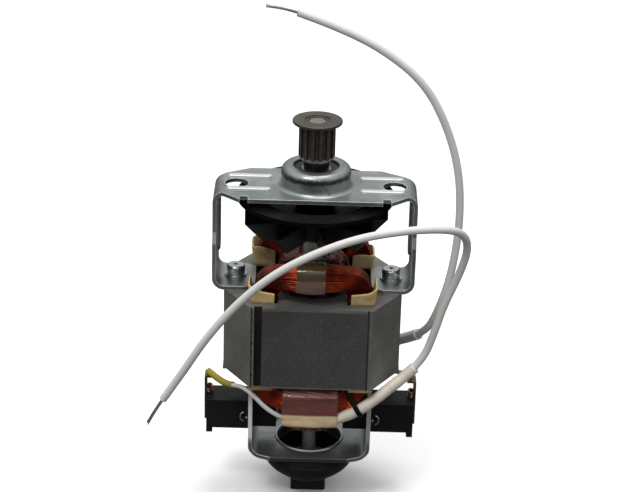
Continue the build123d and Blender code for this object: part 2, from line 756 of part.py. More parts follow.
def turn_places():
    """The places of the outer layer's turns: across the front face, round the corner, down the side."""
    places = [(i * TURN_PITCH, 0.0) for i in range(FACE_TURNS)]
    places.append((COIL_WIDTH, 0.0))
    places += [(COIL_WIDTH, CORNER_PITCH + i * TURN_PITCH) for i in range(SIDE_TURNS)]
    return places


def place_at(places, index):
    """The place of a strand part of the way from one turn to the next."""
    low = min(int(index), len(places) - 2)
    share = index - low
    (out_a, back_a), (out_b, back_b) = places[low], places[low + 1]
    return out_a + (out_b - out_a) * share, back_a + (back_b - back_a) * share


def coil_path():
    """One unbroken line: up the left slot, over the top, down the right slot, under the bottom."""
    places = turn_places()
    edges = []
    for turn in range(len(places)):
        left = place_at(places, turn)
        low_start = STACK_LOW if turn == 0 else bend_level(left[0], STACK_LOW, -1)
        edges.append(line_in_slot(left, low_start, bend_level(left[0], STACK_TOP, 1), -1))
        top = place_at(places, turn + 0.25)
        right = place_at(places, turn + 0.5)
        edges += biarc(*quarter(*left, *top, STACK_TOP, 1, -1))
        start, start_way, end, end_way = quarter(*right, *top, STACK_TOP, 1, 1)
        edges += biarc(end, -end_way, start, -start_way)
        last = turn == len(places) - 1
        low_end = STACK_LOW if last else bend_level(right[0], STACK_LOW, -1)
        edges.append(line_in_slot(right, bend_level(right[0], STACK_TOP, 1), low_end, 1))
        if not last:
            low = place_at(places, turn + 0.75)
            following = place_at(places, turn + 1)
            edges += biarc(*quarter(*right, *low, STACK_LOW, -1, 1))
            start, start_way, end, end_way = quarter(*following, *low, STACK_LOW, -1, -1)
            edges += biarc(end, -end_way, start, -start_way)
    return edges


def line_in_slot(place, from_level, to_level, side):
    start = side_point(*place, from_level)
    end = side_point(*place, to_level)
    return Line((side * start.X, start.Y, start.Z), (side * end.X, end.Y, end.Z))


def least_self_gap(edges, radius, step=1.5):
    """The least distance between turns of one tube, measured on points along its line."""
    points = []
    for number, edge in enumerate(edges):
        count = max(2, int(edge.length / step))
        points += [(number, edge.position_at(i / count)) for i in range(count)]
    least = math.inf
    for i, (number, point) in enumerate(points):
        for other, place in points[i + 1 :]:
            if other - number > 3:
                least = min(least, (point - place).length)
    return least - 2 * radius


def coil_turns(edges):
    start = edges[0].position_at(0)
    section = Plane(origin=start, z_dir=(0, 0, 1)) * Circle(WIRE_R)
    return sweep(section, path=Wire(edges))


def coil_core():
    """The plain bundle under the outer layer of turns."""
    corners = [(0, CORE_INSET), (COIL_WIDTH - CORE_INSET, CORE_INSET)]
    corners += [(COIL_WIDTH - CORE_INSET, COIL_DEPTH), (0, COIL_DEPTH)]
    body = None
    for level, sign in ((STACK_TOP, 1), (STACK_LOW, -1)):
        arcs = [biarc(*quarter(*corner, *corner, level, sign, 1)) for corner in corners]
        stations = [(arc, share) for arc in (0, 1) for share in (0, 0.5)] + [(1, 1)]
        right = [[side_point(*corner, level) for corner in corners]]
        right += [[arcs[c][arc].position_at(share) for c in range(4)] for arc, share in stations]
        left = [[Vector(-p.X, p.Y, p.Z) for p in station] for station in reversed(right[:-1])]
        wires = [Wire.make_polygon(station, close=True) for station in right + left]
        arch = Solid.make_loft(wires, ruled=False)
        body = arch if body is None else body + arch
    low = side_point(*corners[0], STACK_LOW)
    high = side_point(*corners[2], STACK_TOP)
    bar = block(low.X, high.X, low.Y, high.Y, STACK_LOW, STACK_TOP)
    for side in both_sides(bar):
        body = body + side
    return body


def strand_at(out, back, level, sign, x):
    """Where a strand crosses the plane at a distance x from the middle of its end turn."""
    first, second = biarc(*quarter(out, back, out, back, level, sign, 1))
    arc = second if abs(x) < second.position_at(0).X else first
    low, high = 0.0, 1.0
    for _ in range(30):
        share = (low + high) / 2
        if arc.position_at(share).X > abs(x):
            low = share
        else:
            high = share
    return arc.position_at(share)


def tape_band(outlines):
    """A band lofted through outlines, each drawn in a plane square to X, with the bundle's space cut out."""
    def skin(grow):
        wires = []
        for x, points in outlines:
            middle_y = sum(y for y, z in points) / len(points)
            middle_z = sum(z for y, z in points) / len(points)
            moved = [
                (x, y + math.copysign(grow, y - middle_y), z + math.copysign(grow, z - middle_z))
                for y, z in points
            ]
            wires.append(Wire.make_polygon([Vector(*point) for point in moved], close=True))
        return Solid.make_loft(wires, ruled=False)

    return skin(TAPE_THICKNESS) - skin(0)


def top_tape():
    """The tape round the middle of the upper end turn."""
    clear = WIRE_R + TAPE_CLEARANCE
    outlines = []
    for share in (0, 0.25, 0.5, 0.75, 1):
        x = share * (TOP_TAPE_RIGHT + TOP_TAPE_LEFT) - TOP_TAPE_LEFT
        points = []
        for out, back in ((0, 0), (COIL_WIDTH, 0), (COIL_WIDTH, COIL_DEPTH), (0, COIL_DEPTH)):
            strand = strand_at(out, back, STACK_TOP, 1, x)
            y = strand.Y + (clear if back else -clear)
            points.append((y, strand.Z + (clear if out else -clear)))
        outlines.append((x, points))
    return tape_band(outlines)


def low_tape():
    """The tape round the lower end turn and the sleeve under it."""
    clear = WIRE_R + TAPE_CLEARANCE
    flat = STACK_LOW - LOW_TAPE_TOP_DROP
    outlines = []
    for x, front, drop in LOW_TAPE_STATIONS:
        behind = strand_at(COIL_WIDTH, COIL_DEPTH, STACK_LOW, -1, x)
        y_back = max(behind.Y, strand_at(0, COIL_DEPTH, STACK_LOW, -1, x).Y) + clear
        points = [(front, flat), (front, STACK_LOW - drop), (LOW_TAPE_HEEL_Y, STACK_LOW - drop)]
        points += [(y_back, behind.Z - clear), (y_back, flat)]
        outlines.append((x, points))
    return tape_band(outlines)


def liner_angle(thickness, x_out, y_out, start_y, level):
    """The plan outline of a liner: an angle with a rounded corner, for the front right slot."""
    corner = FilletPolyline(
        (CUFF_START_X, -y_out), (x_out, -y_out), (x_out, -start_y), radius=LINER_CORNER_R
    )
    inside = FilletPolyline(
        (x_out - thickness, -start_y),
        (x_out - thickness, thickness - y_out),
        (CUFF_START_X, thickness - y_out),
        radius=LINER_CORNER_R - min(thickness, LINER_CORNER_R / 2),
    )
    edges = list(corner.edges()) + list(inside.edges())
    edges.append(Line((x_out, -start_y), (x_out - thickness, -start_y)))
    edges.append(Line((CUFF_START_X, thickness - y_out), (CUFF_START_X, -y_out)))
    return Pos(0, 0, level) * make_face(edges)


def inner_flap(height):
    """The third side of a cuff, between the coil and the rotor, from the cuff's side wall inward."""
    side_x = SLOT_SIDE_X - SEAT_GAP + CUFF_THICKNESS - LINER_THICKNESS - CUFF_THICKNESS / 2
    flap = block(
        CUFF_INNER_X, side_x, -CUFF_INNER_Y - CUFF_THICKNESS, -CUFF_INNER_Y, STACK_TOP, STACK_TOP + height
    )
    corner = flap.edges().filter_by(Axis.Y).sort_by(Axis.Z)[-2:].sort_by(Axis.X)[0]
    return fillet(corner, LINER_CORNER_R)


def slot_liner(cuff_height, closed):
    """The liner of the front right slot: a thin angle in the slot, with a leaning cuff at each end."""
    side_x = SLOT_SIDE_X - SEAT_GAP
    end_y = SLOT_END_Y - SEAT_GAP
    wall = liner_angle(LINER_THICKNESS, side_x, end_y, CUFF_START_Y, STACK_LOW)
    body = extrude(wall, amount=STACK_HEIGHT)
    foot = CUFF_THICKNESS - LINER_THICKNESS
    for level, rise, start_y in (
        (STACK_TOP, cuff_height, CUFF_START_Y),
        (STACK_LOW, -LOW_CUFF_HEIGHT, LOW_CUFF_START_Y),
    ):
        lean_x = foot + CUFF_LEAN_X * abs(rise)
        lean_y = foot + CUFF_LEAN_Y * abs(rise)
        base = liner_angle(CUFF_THICKNESS, side_x + foot, end_y + foot, start_y, level)
        top = liner_angle(CUFF_THICKNESS, side_x + lean_x, end_y + lean_y, start_y, level + rise)
        body += loft([base, top], ruled=True)
    if closed:
        body += inner_flap(cuff_height)
    return body


def slot_liners():
    """The four liners, each turned or mirrored into its own corner."""
    liners = {}
    for name, height in CUFF_HEIGHTS.items():
        liner = slot_liner(height, closed="rear" in name)
        if "left" in name:
            liner = mirror(liner, about=Plane.YZ)
        if "rear" in name:
            liner = mirror(liner, about=Plane.XZ)
        liners["slot_liner_" + name] = liner
    return liners


# Bracket screws
def at_screws(shape):
    return [Pos(x, 0, STACK_TOP + SHEET) * shape for x in (-SCREW_X, SCREW_X)]


def flat_washers():
    return at_screws(ring(FLAT_WASHER_R, SCREW_R + PRESS_GAP, 0, FLAT_WASHER_HEIGHT))


def spring_washers():
    low = FLAT_WASHER_HEIGHT
    washer = ring(SPRING_WASHER_R, SCREW_R + PRESS_GAP, low, low + SPRING_WASHER_HEIGHT)
    split = block(0, SPRING_WASHER_R, -0.3, 0.3, low, low + SPRING_WASHER_HEIGHT)
    return at_screws(washer - split)


def bracket_screws():
    head_low = FLAT_WASHER_HEIGHT + SPRING_WASHER_HEIGHT
    head = disc(SCREW_HEAD_R, head_low, head_low + SCREW_HEAD_HEIGHT)
    head = fillet(head.faces().sort_by(Axis.Z)[-1].edges(), 0.35 * SCREW_HEAD_HEIGHT)
    recess = Box(0.55 * SCREW_HEAD_R, 0.22 * SCREW_HEAD_R, SCREW_HEAD_HEIGHT)
    recess += Rot(0, 0, 90) * recess
    head -= Pos(0, 0, head_low + SCREW_HEAD_HEIGHT) * recess
    tail = -(STACK_HEIGHT + 2 * SHEET + SCREW_TAIL)
    return at_screws(head + disc(SCREW_R, tail, head_low))


# Commutator-end bracket and rear bearing
def commutator_end_bracket():
    middle_x = CRADLE_HALF_WIDTH - SHEET / 2
    foot_z = STACK_LOW - SHEET / 2
    plate_z = CRADLE_TOP - SHEET / 2
    strip = bent_strip(
        [(CRADLE_FOOT_X, foot_z), (middle_x, foot_z), (middle_x, plate_z)]
        + [(-middle_x, plate_z), (-middle_x, foot_z), (-CRADLE_FOOT_X, foot_z)],
        CRADLE_FRONT + SHEET,
    )
    wide_x = CRADLE_FOOT_X + SHEET
    foot_x = CRADLE_HALF_WIDTH + BEND_R
    plan = [(CRADLE_FRONT_FLAT, CRADLE_FRONT), (CRADLE_HALF_WIDTH - SHEET, CRADLE_HALF_DEPTH)]
    plan += [(foot_x, CRADLE_HALF_DEPTH), (foot_x, CRADLE_FOOT_HALF), (wide_x, CRADLE_FOOT_HALF)]
    plan += [(x, -y) for x, y in reversed(plan)]
    plan += [(-x, y) for x, y in reversed(plan)]
    bracket = strip & prism(plan, CRADLE_LOW - SHEET, STACK_LOW + SHEET)
    lip_low = CRADLE_LOW - CRADLE_LIP_DROP
    bracket += disc(CRADLE_HOLE_R + CRADLE_LIP, lip_low, CRADLE_TOP)
    bracket -= disc(CRADLE_HOLE_R, lip_low, CRADLE_TOP)
    rim = [
        e
        for e in bracket.edges().filter_by_position(Axis.Z, CRADLE_TOP - 0.01, CRADLE_TOP + 0.01)
        if abs(e.bounding_box().size.X - 2 * CRADLE_HOLE_R) < 0.01
    ]
    bracket = fillet(rim, CRADLE_LIP / 2)
    half = HOLDER_NOSE_HALF + WINDOW_GAP
    reach = CRADLE_HALF_WIDTH + SHEET
    bracket -= block(-reach, reach, -half, half, BRUSH_LEVEL - half, BRUSH_LEVEL + half)
    for x in (-SCREW_X, SCREW_X):
        bracket -= Pos(x, 0, foot_z) * Cylinder(SCREW_R + PRESS_GAP, 4 * SHEET)
    return bracket


def housing_bowl(grow):
    """The bowl's plain form, larger all round by grow."""
    rim_z = CRADLE_LOW - HOUSING_RIM
    waist = (HOUSING_WAIST_R + grow, CRADLE_LOW - HOUSING_WAIST_DROP)
    neck = (HOUSING_NECK_R + grow, CRADLE_LOW - HOUSING_NECK_DROP)
    floor = (BOSS_WIDTH / 2, HOUSING_FLOOR)
    rim_r = HOUSING_R + grow
    outline = [
        Line((0, CRADLE_LOW), (rim_r, CRADLE_LOW)),
        Line((rim_r, CRADLE_LOW), (rim_r, rim_z)),
        ThreePointArc((rim_r, rim_z), waist, neck),
        Line(neck, floor),
        Line(floor, (0, HOUSING_FLOOR)),
        Line((0, HOUSING_FLOOR), (0, CRADLE_LOW)),
    ]
    return turned(outline)


def rear_bearing_housing():
    """A bowl with a square boss, whose front and back run up the bowl as pads, and the seats inside it."""
    def level(drop):
        return CRADLE_LOW - drop

    body = housing_bowl(0)
    boss_top = level(HOUSING_NECK_DROP)
    boss = extrude(RectangleRounded(BOSS_WIDTH, BOSS_WIDTH, BOSS_CORNER_R), amount=boss_top - BOSS_LOW)
    half = BOSS_WIDTH / 2
    band = block(-half, half, -2 * HOUSING_R, 2 * HOUSING_R, HOUSING_FLOOR, level(HOUSING_PAD_DROP))
    body += housing_bowl(HOUSING_PAD_DEPTH) & band
    body += Pos(0, 0, BOSS_LOW) * boss
    socket_r = CRADLE_HOLE_R + CRADLE_LIP + PRESS_GAP
    body -= disc(socket_r, level(CRADLE_LIP_DROP), CRADLE_LOW)
    body -= disc(HOUSING_CAVITY_R, level(HOUSING_CAVITY_DROP), CRADLE_LOW)
    body -= disc(FELT_R, level(HOUSING_CAVITY_DROP + FELT_HEIGHT), CRADLE_LOW)
    body -= disc(BUSH_R + PRESS_GAP, BUSH_LOW, CRADLE_LOW)
    return body


def rear_bush():
    return ring(BUSH_R, JOURNAL_R + RUN_GAP, BUSH_LOW, BUSH_LOW + BUSH_LENGTH)


def felt_ring():
    high = CRADLE_LOW - HOUSING_CAVITY_DROP
    return ring(FELT_R - PRESS_GAP, BUSH_R + PRESS_GAP, high - FELT_HEIGHT, high)


# Brush gear
def box_about_brush(x_low, x_high, half_y, half_z):
    return block(x_low, x_high, -half_y, half_y, BRUSH_LEVEL - half_z, BRUSH_LEVEL + half_z)


def brush_holder():
    body = box_about_brush(CRADLE_HALF_WIDTH, HOLDER_END_X, HOLDER_HALF_Y, HOLDER_HALF_Z)
    body += box_about_brush(HOLDER_START_X, CRADLE_HALF_WIDTH, HOLDER_NOSE_HALF, HOLDER_NOSE_HALF)
    lug_x = HOLDER_END_X - HOLDER_LUG_LENGTH
    low = BRUSH_LEVEL - HOLDER_HALF_Z
    body += block(lug_x, HOLDER_END_X, -HOLDER_HALF_Y, HOLDER_HALF_Y, low - HOLDER_LUG_DROP, low)
    gap = TUBE_WALL + SLIDE_GAP + PRESS_GAP
    body -= box_about_brush(0, HOLDER_END_X, BRUSH_HALF_Y + gap, BRUSH_HALF_Z + gap)
    return body


def brush_tube():
    gap = SLIDE_GAP + TUBE_WALL
    body = box_about_brush(TUBE_START_X, HOLDER_END_X, BRUSH_HALF_Y + gap, BRUSH_HALF_Z + gap)
    return body - box_about_brush(0, HOLDER_END_X, BRUSH_HALF_Y + SLIDE_GAP, BRUSH_HALF_Z + SLIDE_GAP)


def carbon_brush():
    body = box_about_brush(COMMUTATOR_R - BRUSH_HALF_Y, BRUSH_END_X, BRUSH_HALF_Y, BRUSH_HALF_Z)
    return body - disc(COMMUTATOR_R + BRUSH_GAP, COMMUTATOR_LOW - RISER_HEIGHT, COMMUTATOR_TOP)


def brush_spring():
    length = HOLDER_END_X - BRUSH_END_X
    body = Cylinder(SPRING_R, length) - Cylinder(SPRING_R - SPRING_WIRE, length)
    return Pos(BRUSH_END_X + length / 2, 0, BRUSH_LEVEL) * Rot(0, 90, 0) * body


def brush_terminal():
    """A brass strip that closes the tube's outer end and stands up to a hook for the wire."""
    x_high = HOLDER_END_X + TERMINAL_THICKNESS
    low = BRUSH_LEVEL - BRUSH_HALF_Z - TUBE_WALL
    strip = block(HOLDER_END_X, x_high, -TERMINAL_HALF_Y, TERMINAL_HALF_Y, low, TERMINAL_TOP)
    hook_x = HOLDER_END_X - TERMINAL_HOOK
    hook_low = TERMINAL_TOP - TERMINAL_THICKNESS
    half = TERMINAL_HALF_Y - TERMINAL_THICKNESS
    return strip + block(hook_x, HOLDER_END_X, -half, half, hook_low, TERMINAL_TOP)


def holder_rivets():
    """A small bright rivet head on the front and the back of each brush holder."""
    shank = Pos(0, -RIVET_SHANK / 2, 0) * Rot(90, 0, 0) * Cylinder(RIVET_SHANK_R, RIVET_SHANK)
    head = Pos(0, RIVET_HEAD / 2, 0) * Rot(90, 0, 0) * Cylinder(RIVET_R, RIVET_HEAD)
    rivet = Pos(RIVET_X, HOLDER_HALF_Y, BRUSH_LEVEL) * (head + shank)
    return [copy for side in both_sides(rivet) for copy in (side, mirror(side, about=Plane.XZ))]


def rivet_holes():
    hole = Rot(90, 0, 0) * Cylinder(RIVET_SHANK_R + PRESS_GAP, RIVET_SHANK + SEAT_GAP)
    place = HOLDER_HALF_Y - (RIVET_SHANK + SEAT_GAP) / 2
    return [Pos(RIVET_X, side * place, BRUSH_LEVEL) * hole for side in (-1, 1)]


# Wires and sleeves
def bend_radii(points):
    """The radius of each bend: 0.45 of the shorter run beside it, over the tangent of half its turn."""
    radii = []
    for before, corner, after in zip(points, points[1:], points[2:]):
        first = Vector(*corner) - Vector(*before)
        second = Vector(*after) - Vector(*corner)
        half_turn = math.radians(first.get_angle(second)) / 2
        radii.append(0.45 * min(first.length, second.length) / math.tan(half_turn))
    return radii


def tube(name, points, radius, bore=0.0):
    """A round tube along straight runs joined by tangent arcs."""
    radii = bend_radii(points)
    path = FilletPolyline(*points, radius=radii) if radii else Line(*points)
    start = Plane(origin=points[0], z_dir=Vector(*points[1]) - Vector(*points[0]))
    section = Circle(radius)
    if bore:
        section -= Circle(bore)
    body = sweep(start * section, path=path)
    expected = math.pi * (radius**2 - bore**2) * path.length
    print(name, "radii", [round(r, 1) for r in radii], "length", round(path.length, 1))
    print(name, "volume", round(body.volume, 2), "section times length", round(expected, 2))
    return body


def strands(name, start, tip):
    """The bare strands past the end of a lead's insulation."""
    way = (Vector(*tip) - Vector(*start)).normalized()
    begin = Vector(*start) + way * SEAT_GAP
    return tube(name, [tuple(begin), tip], STRAND_R)


def sleeve_tie():
    """A narrow band round the front sleeve."""
    route = FilletPolyline(*FRONT_SLEEVE, radius=bend_radii(FRONT_SLEEVE))
    way = route.tangent_at(TIE_SHARE)
    plane = Plane(origin=route.position_at(TIE_SHARE) - way * (TIE_WIDTH / 2), z_dir=way)
    section = Circle(SLEEVE_R + SEAT_GAP / 2 + TIE_THICKNESS) - Circle(SLEEVE_R + SEAT_GAP / 2)
    return extrude(plane * section, amount=TIE_WIDTH)


# Writing the nodes
def write(name, shape):
    solids = shape if isinstance(shape, list) else [shape]
    solids = [s for item in solids for s in item.solids()]
    body = solids[0] if len(solids) == 1 else Compound(children=solids)
    export_step(body, "parts/" + name + ".step")


path_edges = coil_path()
print("field coil least gap", round(least_self_gap(path_edges, WIRE_R), 3))
front_turns = coil_turns(path_edges)
front_core = coil_core()
tapes = [top_tape(), low_tape()]
holder = brush_holder()
for hole in rivet_holes():
    holder -= hole

nodes = {
    "drive_end_bracket": drive_end_bracket(),
    "bearing_outer_ring": bearing_outer_ring(),
    "bearing_inner_ring": bearing_inner_ring(),
    "bearing_balls": bearing_balls(),
    "bearing_cage": bearing_cage(),
    "bearing_seals": bearing_seals(),
    "armature_shaft": armature_shaft(),
    "spacer_collar": spacer_collar(),
    "pulley_washer": pulley_washer(),
    "pulley": pulley(),
    "pulley_flange": pulley_flange(),
    "fan": fan(),
    "armature_core": armature_core(),
    "armature_winding": armature_winding(),
    "commutator_hub": commutator_hub(),
    "commutator_bars": commutator_bars(),
    "rear_thrust_washer": rear_thrust_washer(),
    "stator_core": stator_core(),
    "stack_cleats": stack_cleats(),
    "rating_plate": rating_plate(),
    "front_coil_core": front_core,
    "front_coil_turns": front_turns,
    "front_coil_tapes": tapes,
    "rear_coil_core": Rot(0, 0, 180) * front_core,
    "rear_coil_turns": Rot(0, 0, 180) * front_turns,
    "rear_coil_tapes": [mirror(tape, about=Plane.XZ) for tape in tapes],
    "flat_washers": flat_washers(),
    "spring_washers": spring_washers(),
    "bracket_screws": bracket_screws(),
    "commutator_end_bracket": commutator_end_bracket(),
    "rear_bearing_housing": rear_bearing_housing(),
    "rear_bush": rear_bush(),
    "felt_ring": felt_ring(),
    "holder_rivets": holder_rivets(),
    "front_sleeve": tube("front_sleeve", FRONT_SLEEVE, SLEEVE_R, SLEEVE_BORE_R),
    "rear_sleeve": tube("rear_sleeve", REAR_SLEEVE, SLEEVE_R, SLEEVE_BORE_R),
    "sleeve_tie": sleeve_tie(),
    "front_jumper": tube("front_jumper", JUMPER, JUMPER_R),
    "rear_jumper": tube("rear_jumper", REAR_JUMPER, JUMPER_R),
    "yellow_sleeve": tube("yellow_sleeve", JUMPER[:4], YELLOW_R, YELLOW_BORE_R),
    "lead_a": tube("lead_a", LEAD_A, LEAD_R),
    "lead_b": tube("lead_b", LEAD_B, LEAD_R),
    "lead_a_strands": strands("lead_a_strands", LEAD_A[-1], LEAD_A_TIP),
    "lead_b_strands": strands("lead_b_strands", LEAD_B[-1], LEAD_B_TIP),
}
nodes.update(slot_liners())
sided = {
    "brush_holder": holder,
    "brush_tube": brush_tube(),
    "carbon_brush": carbon_brush(),
    "brush_spring": brush_spring(),
    "brush_terminal": brush_terminal(),
}
for name, shape in sided.items():
    right, left = both_sides(shape)
    nodes[name + "_right"] = right
    nodes[name + "_left"] = left
for name, shape in nodes.items():
    write(name, shape)
print(len(nodes), "nodes")
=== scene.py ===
import math
import random

import bmesh
import bpy
import numpy as np
from mathutils import Matrix, Vector


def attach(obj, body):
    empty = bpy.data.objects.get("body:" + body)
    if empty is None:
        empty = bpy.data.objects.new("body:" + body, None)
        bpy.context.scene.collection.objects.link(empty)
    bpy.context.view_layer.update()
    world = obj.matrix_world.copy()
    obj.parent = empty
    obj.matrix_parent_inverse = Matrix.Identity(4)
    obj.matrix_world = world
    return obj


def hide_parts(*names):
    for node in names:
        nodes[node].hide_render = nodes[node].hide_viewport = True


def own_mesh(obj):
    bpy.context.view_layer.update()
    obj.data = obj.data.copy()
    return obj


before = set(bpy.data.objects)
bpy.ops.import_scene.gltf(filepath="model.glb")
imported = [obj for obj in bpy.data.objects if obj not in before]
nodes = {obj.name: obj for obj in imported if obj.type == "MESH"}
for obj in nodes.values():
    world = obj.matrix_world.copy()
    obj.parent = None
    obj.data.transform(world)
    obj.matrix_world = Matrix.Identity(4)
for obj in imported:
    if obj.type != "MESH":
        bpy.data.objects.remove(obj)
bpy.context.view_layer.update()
MM = 0.001

# Sizes from the CAD source, in millimetres
STACK_TOP = -38.0
STACK_LOW = -70.0
COIL_INNER_X = 13.1
COIL_FRONT_Y = 19.6
COIL_WIDTH = 7.85
COIL_DEPTH = 6.8
END_FRONT_Y = 23.5
END_DEPTH_SCALE = 1.18
END_INNER_RISE = 5.0
END_RISE_SCALE = 1.18
LOW_END_INNER_RISE = 4.4
LOW_END_RISE_SCALE = 0.97
RISE_STRAIGHT_SHARE = 0.27
LEAD_R = 1.45
SLEEVE_R = 2.1
SLEEVE_BORE_R = 1.55
JUMPER_R = 0.85
YELLOW_R = 1.25
BRUSH_LEVEL = -91.75

# The camera, fitted to the photograph
CAMERA_DISTANCE = 740.0
CAMERA_ELEVATION = 24.67
CAMERA_PAN = 0.08
CAMERA_TILT = 0.98
CAMERA_ROLL = 1.59
CAMERA_FOCUS = 2005.0
CAMERA_AIM_Z = -38.0
IMAGE_WIDTH = 634
SENSOR_WIDTH = 36
CLIP_NEAR = 0.05
CLIP_FAR = 20

# Routes of the sleeves, jumpers and lead wires, as in the CAD source
FRONT_SLEEVE = [
    (0.5, -21.4, -85.2), (9.3, -21.4, -84.4), (16.8, -22.6, -80.6), (23.6, -21.9, -75.6),
    (30.4, -19.2, -70.6), (34.4, -17.6, -67.8), (38.0, -17.0, -64.2),
]
REAR_SLEEVE = [
    (2.0, 21.5, -85.0), (9.3, 21.5, -84.4), (16.8, 22.8, -80.8), (24.4, 21.6, -75.6),
    (32.2, 17.4, -70.4), (36.2, 12.2, -66.4), (40.2, 7.2, -62.4),
]
FRONT_JUMPER = [
    (-38.6, -1.2, -76.1), (-35.6, -4.4, -76.9), (-31.6, -8.6, -77.5), (-27.6, -13.6, -75.5),
    (-24.4, -18.6, -73.6), (-20.6, -21.6, -75.3), (-16.4, -22.0, -80.0), (-10.6, -21.7, -84.0),
    (-4.2, -21.4, -85.6), (3.5, -21.4, -84.9),
]
REAR_JUMPER = [
    (38.6, 1.2, -76.1), (35.4, 4.6, -77.6), (31.4, 9.4, -79.6), (27.0, 14.5, -81.6),
    (21.0, 17.8, -83.8), (13.5, 18.2, -85.2), (6.5, 17.9, -85.5), (1.5, 17.9, -85.4),
]
LEAD_A = [
    (38.0, 9.95, -64.6), (43.0, 3.7, -59.6), (46.8, 0.5, -48.8), (50.2, 1.0, -37.2),
    (52.2, 2.0, -24.5), (52.9, 2.0, -10.5), (51.6, 2.0, 6.0), (46.5, 2.0, 23.0),
    (37.5, 1.5, 39.5), (22.5, 1.0, 51.5), (5.5, 0.5, 59.8), (-7.9, 0.0, 64.5),
]
LEAD_A_TIP = (-19.7, 0.2, 66.6)
LEAD_B = [
    (35.12, -17.48, -67.08), (41.0, -16.5, -61.2), (44.4, -16.8, -50.5), (47.6, -17.2, -38.0),
    (52.2, -17.6, -26.5), (55.0, -19.6, -15.0), (52.4, -25.0, -6.6), (44.5, -30.5, -3.0),
    (31.0, -34.2, -2.6), (15.0, -35.4, -5.4), (-1.5, -35.6, -12.4), (-14.8, -34.6, -21.0),
    (-27.0, -33.4, -33.0), (-37.9, -32.3, -47.4), (-46.3, -31.0, -62.2), (-53.3, -30.0, -73.4),
]
LEAD_B_TIP = (-59.2, -29.6, -84.1)

dice = random.Random(7)


# Camera
def unit(vector):
    return vector / np.linalg.norm(vector)


def add_camera():
    """The photograph's pinhole camera: turned down by its elevation, then by small pan, tilt and roll."""
    turns = (CAMERA_ELEVATION, CAMERA_PAN, CAMERA_TILT, CAMERA_ROLL)
    elevation, pan, tilt, roll = (math.radians(turn) for turn in turns)
    ahead = np.array([0, math.cos(elevation), -math.sin(elevation)])
    place = np.array([0, 0, CAMERA_AIM_Z]) - CAMERA_DISTANCE * ahead
    right = np.array([1.0, 0, 0])
    up = np.cross(right, ahead)
    ahead = unit(ahead + pan * right + tilt * up)
    right = unit(np.cross(ahead, up))
    up = np.cross(right, ahead)
    side = math.cos(roll) * right + math.sin(roll) * up
    top = math.cos(roll) * up - math.sin(roll) * right
    data = bpy.data.cameras.new("camera")
    data.sensor_width = SENSOR_WIDTH
    data.lens = CAMERA_FOCUS / IMAGE_WIDTH * SENSOR_WIDTH
    data.clip_start, data.clip_end = CLIP_NEAR, CLIP_FAR
    camera = link(bpy.data.objects.new("camera", data))
    turn = Matrix((side, top, -ahead)).transposed().to_4x4()
    camera.matrix_world = Matrix.Translation(Vector(place * MM)) @ turn
    bpy.context.scene.camera = camera


# Curves and meshes. No line starts along the oblique direction.
OBLIQUE = (0.3, 0.5, 0.81)


def link(obj):
    bpy.context.scene.collection.objects.link(obj)
    return obj


def route_curve(name, points, radius=0.0):
    """A smooth curve with the route's points as its control points, in millimetres like its radius."""
    data = bpy.data.curves.new(name, "CURVE")
    data.dimensions = "3D"
    data.resolution_u = 16
    data.bevel_depth = radius
    data.bevel_resolution = 8
    data.use_fill_caps = True
    spline = data.splines.new("NURBS")
    spline.points.add(len(points) - 1)
    for point, (x, y, z) in zip(spline.points, points):
        point.co = (x * MM, y * MM, z * MM, 1)
        point.radius = MM
    spline.order_u = 3
    spline.use_endpoint_u = True
    return link(bpy.data.objects.new(name, data))


def route_line(points):
    """Points along a route's smooth curve, in millimetres."""
    curve = route_curve("route", points)
    mesh = bpy.data.meshes.new_from_object(curve)
    line = np.array([v.co[:] for v in mesh.vertices]) / MM
    bpy.data.objects.remove(curve)
    bpy.data.meshes.remove(mesh)
    return line


def lengths_along(line):
    steps = np.linalg.norm(np.diff(line, axis=0), axis=1)
    return np.concatenate([[0], np.cumsum(steps)])


def at_lengths(line, wanted):
    """The places at some distances along a line."""
    along = lengths_along(line)
    return np.column_stack([np.interp(wanted, along, values) for values in line.T])


def evenly(line, step):
    """The same line with its points a step apart."""
    length = lengths_along(line)[-1]
    return at_lengths(line, np.linspace(0, length, max(2, int(round(length / step)) + 1)))


def cut(line, start, end):
    """The stretch of a line between two distances along it."""
    along = lengths_along(line)
    return at_lengths(line, np.concatenate([[start], along[(along > start) & (along < end)], [end]]))


def bow(first, bend, last, count):
    """Points of a plain curve from one place to another, drawn toward a third."""
    share = np.linspace(0, 1, count)[:, None]
    return (1 - share) ** 2 * first + 2 * share * (1 - share) * bend + share**2 * last


def round_angles(count):
    return np.linspace(0, 2 * math.pi, count, endpoint=False)


def ways_along(line, closed=False):
    """Unit vectors along a line at its points."""
    if closed:
        way = np.roll(line, -1, axis=0) - np.roll(line, 1, axis=0)
    else:
        way = np.gradient(line, axis=0)
    return way / np.linalg.norm(way, axis=1)[:, None]


def frames_along(line, closed=False):
    """Two unit vectors square to the line at each point, turning with it and not about it."""
    ways = ways_along(line, closed)
    normal = unit(np.cross(ways[0], OBLIQUE))
    normals = []
    for way in ways:
        normal = unit(normal - way * (normal @ way))
        normals.append(normal)
    normals = np.array(normals)
    return normals, np.cross(ways, normals)


def ring_faces(rows, sides, closed=False):
    """Faces between rows of points, where each row is a ring."""
    faces = []
    for row in range(rows if closed else rows - 1):
        near, far = row * sides, (row + 1) % rows * sides
        for i in range(sides):
            j = (i + 1) % sides
            faces.append((near + i, near + j, far + j, far + i))
    return faces


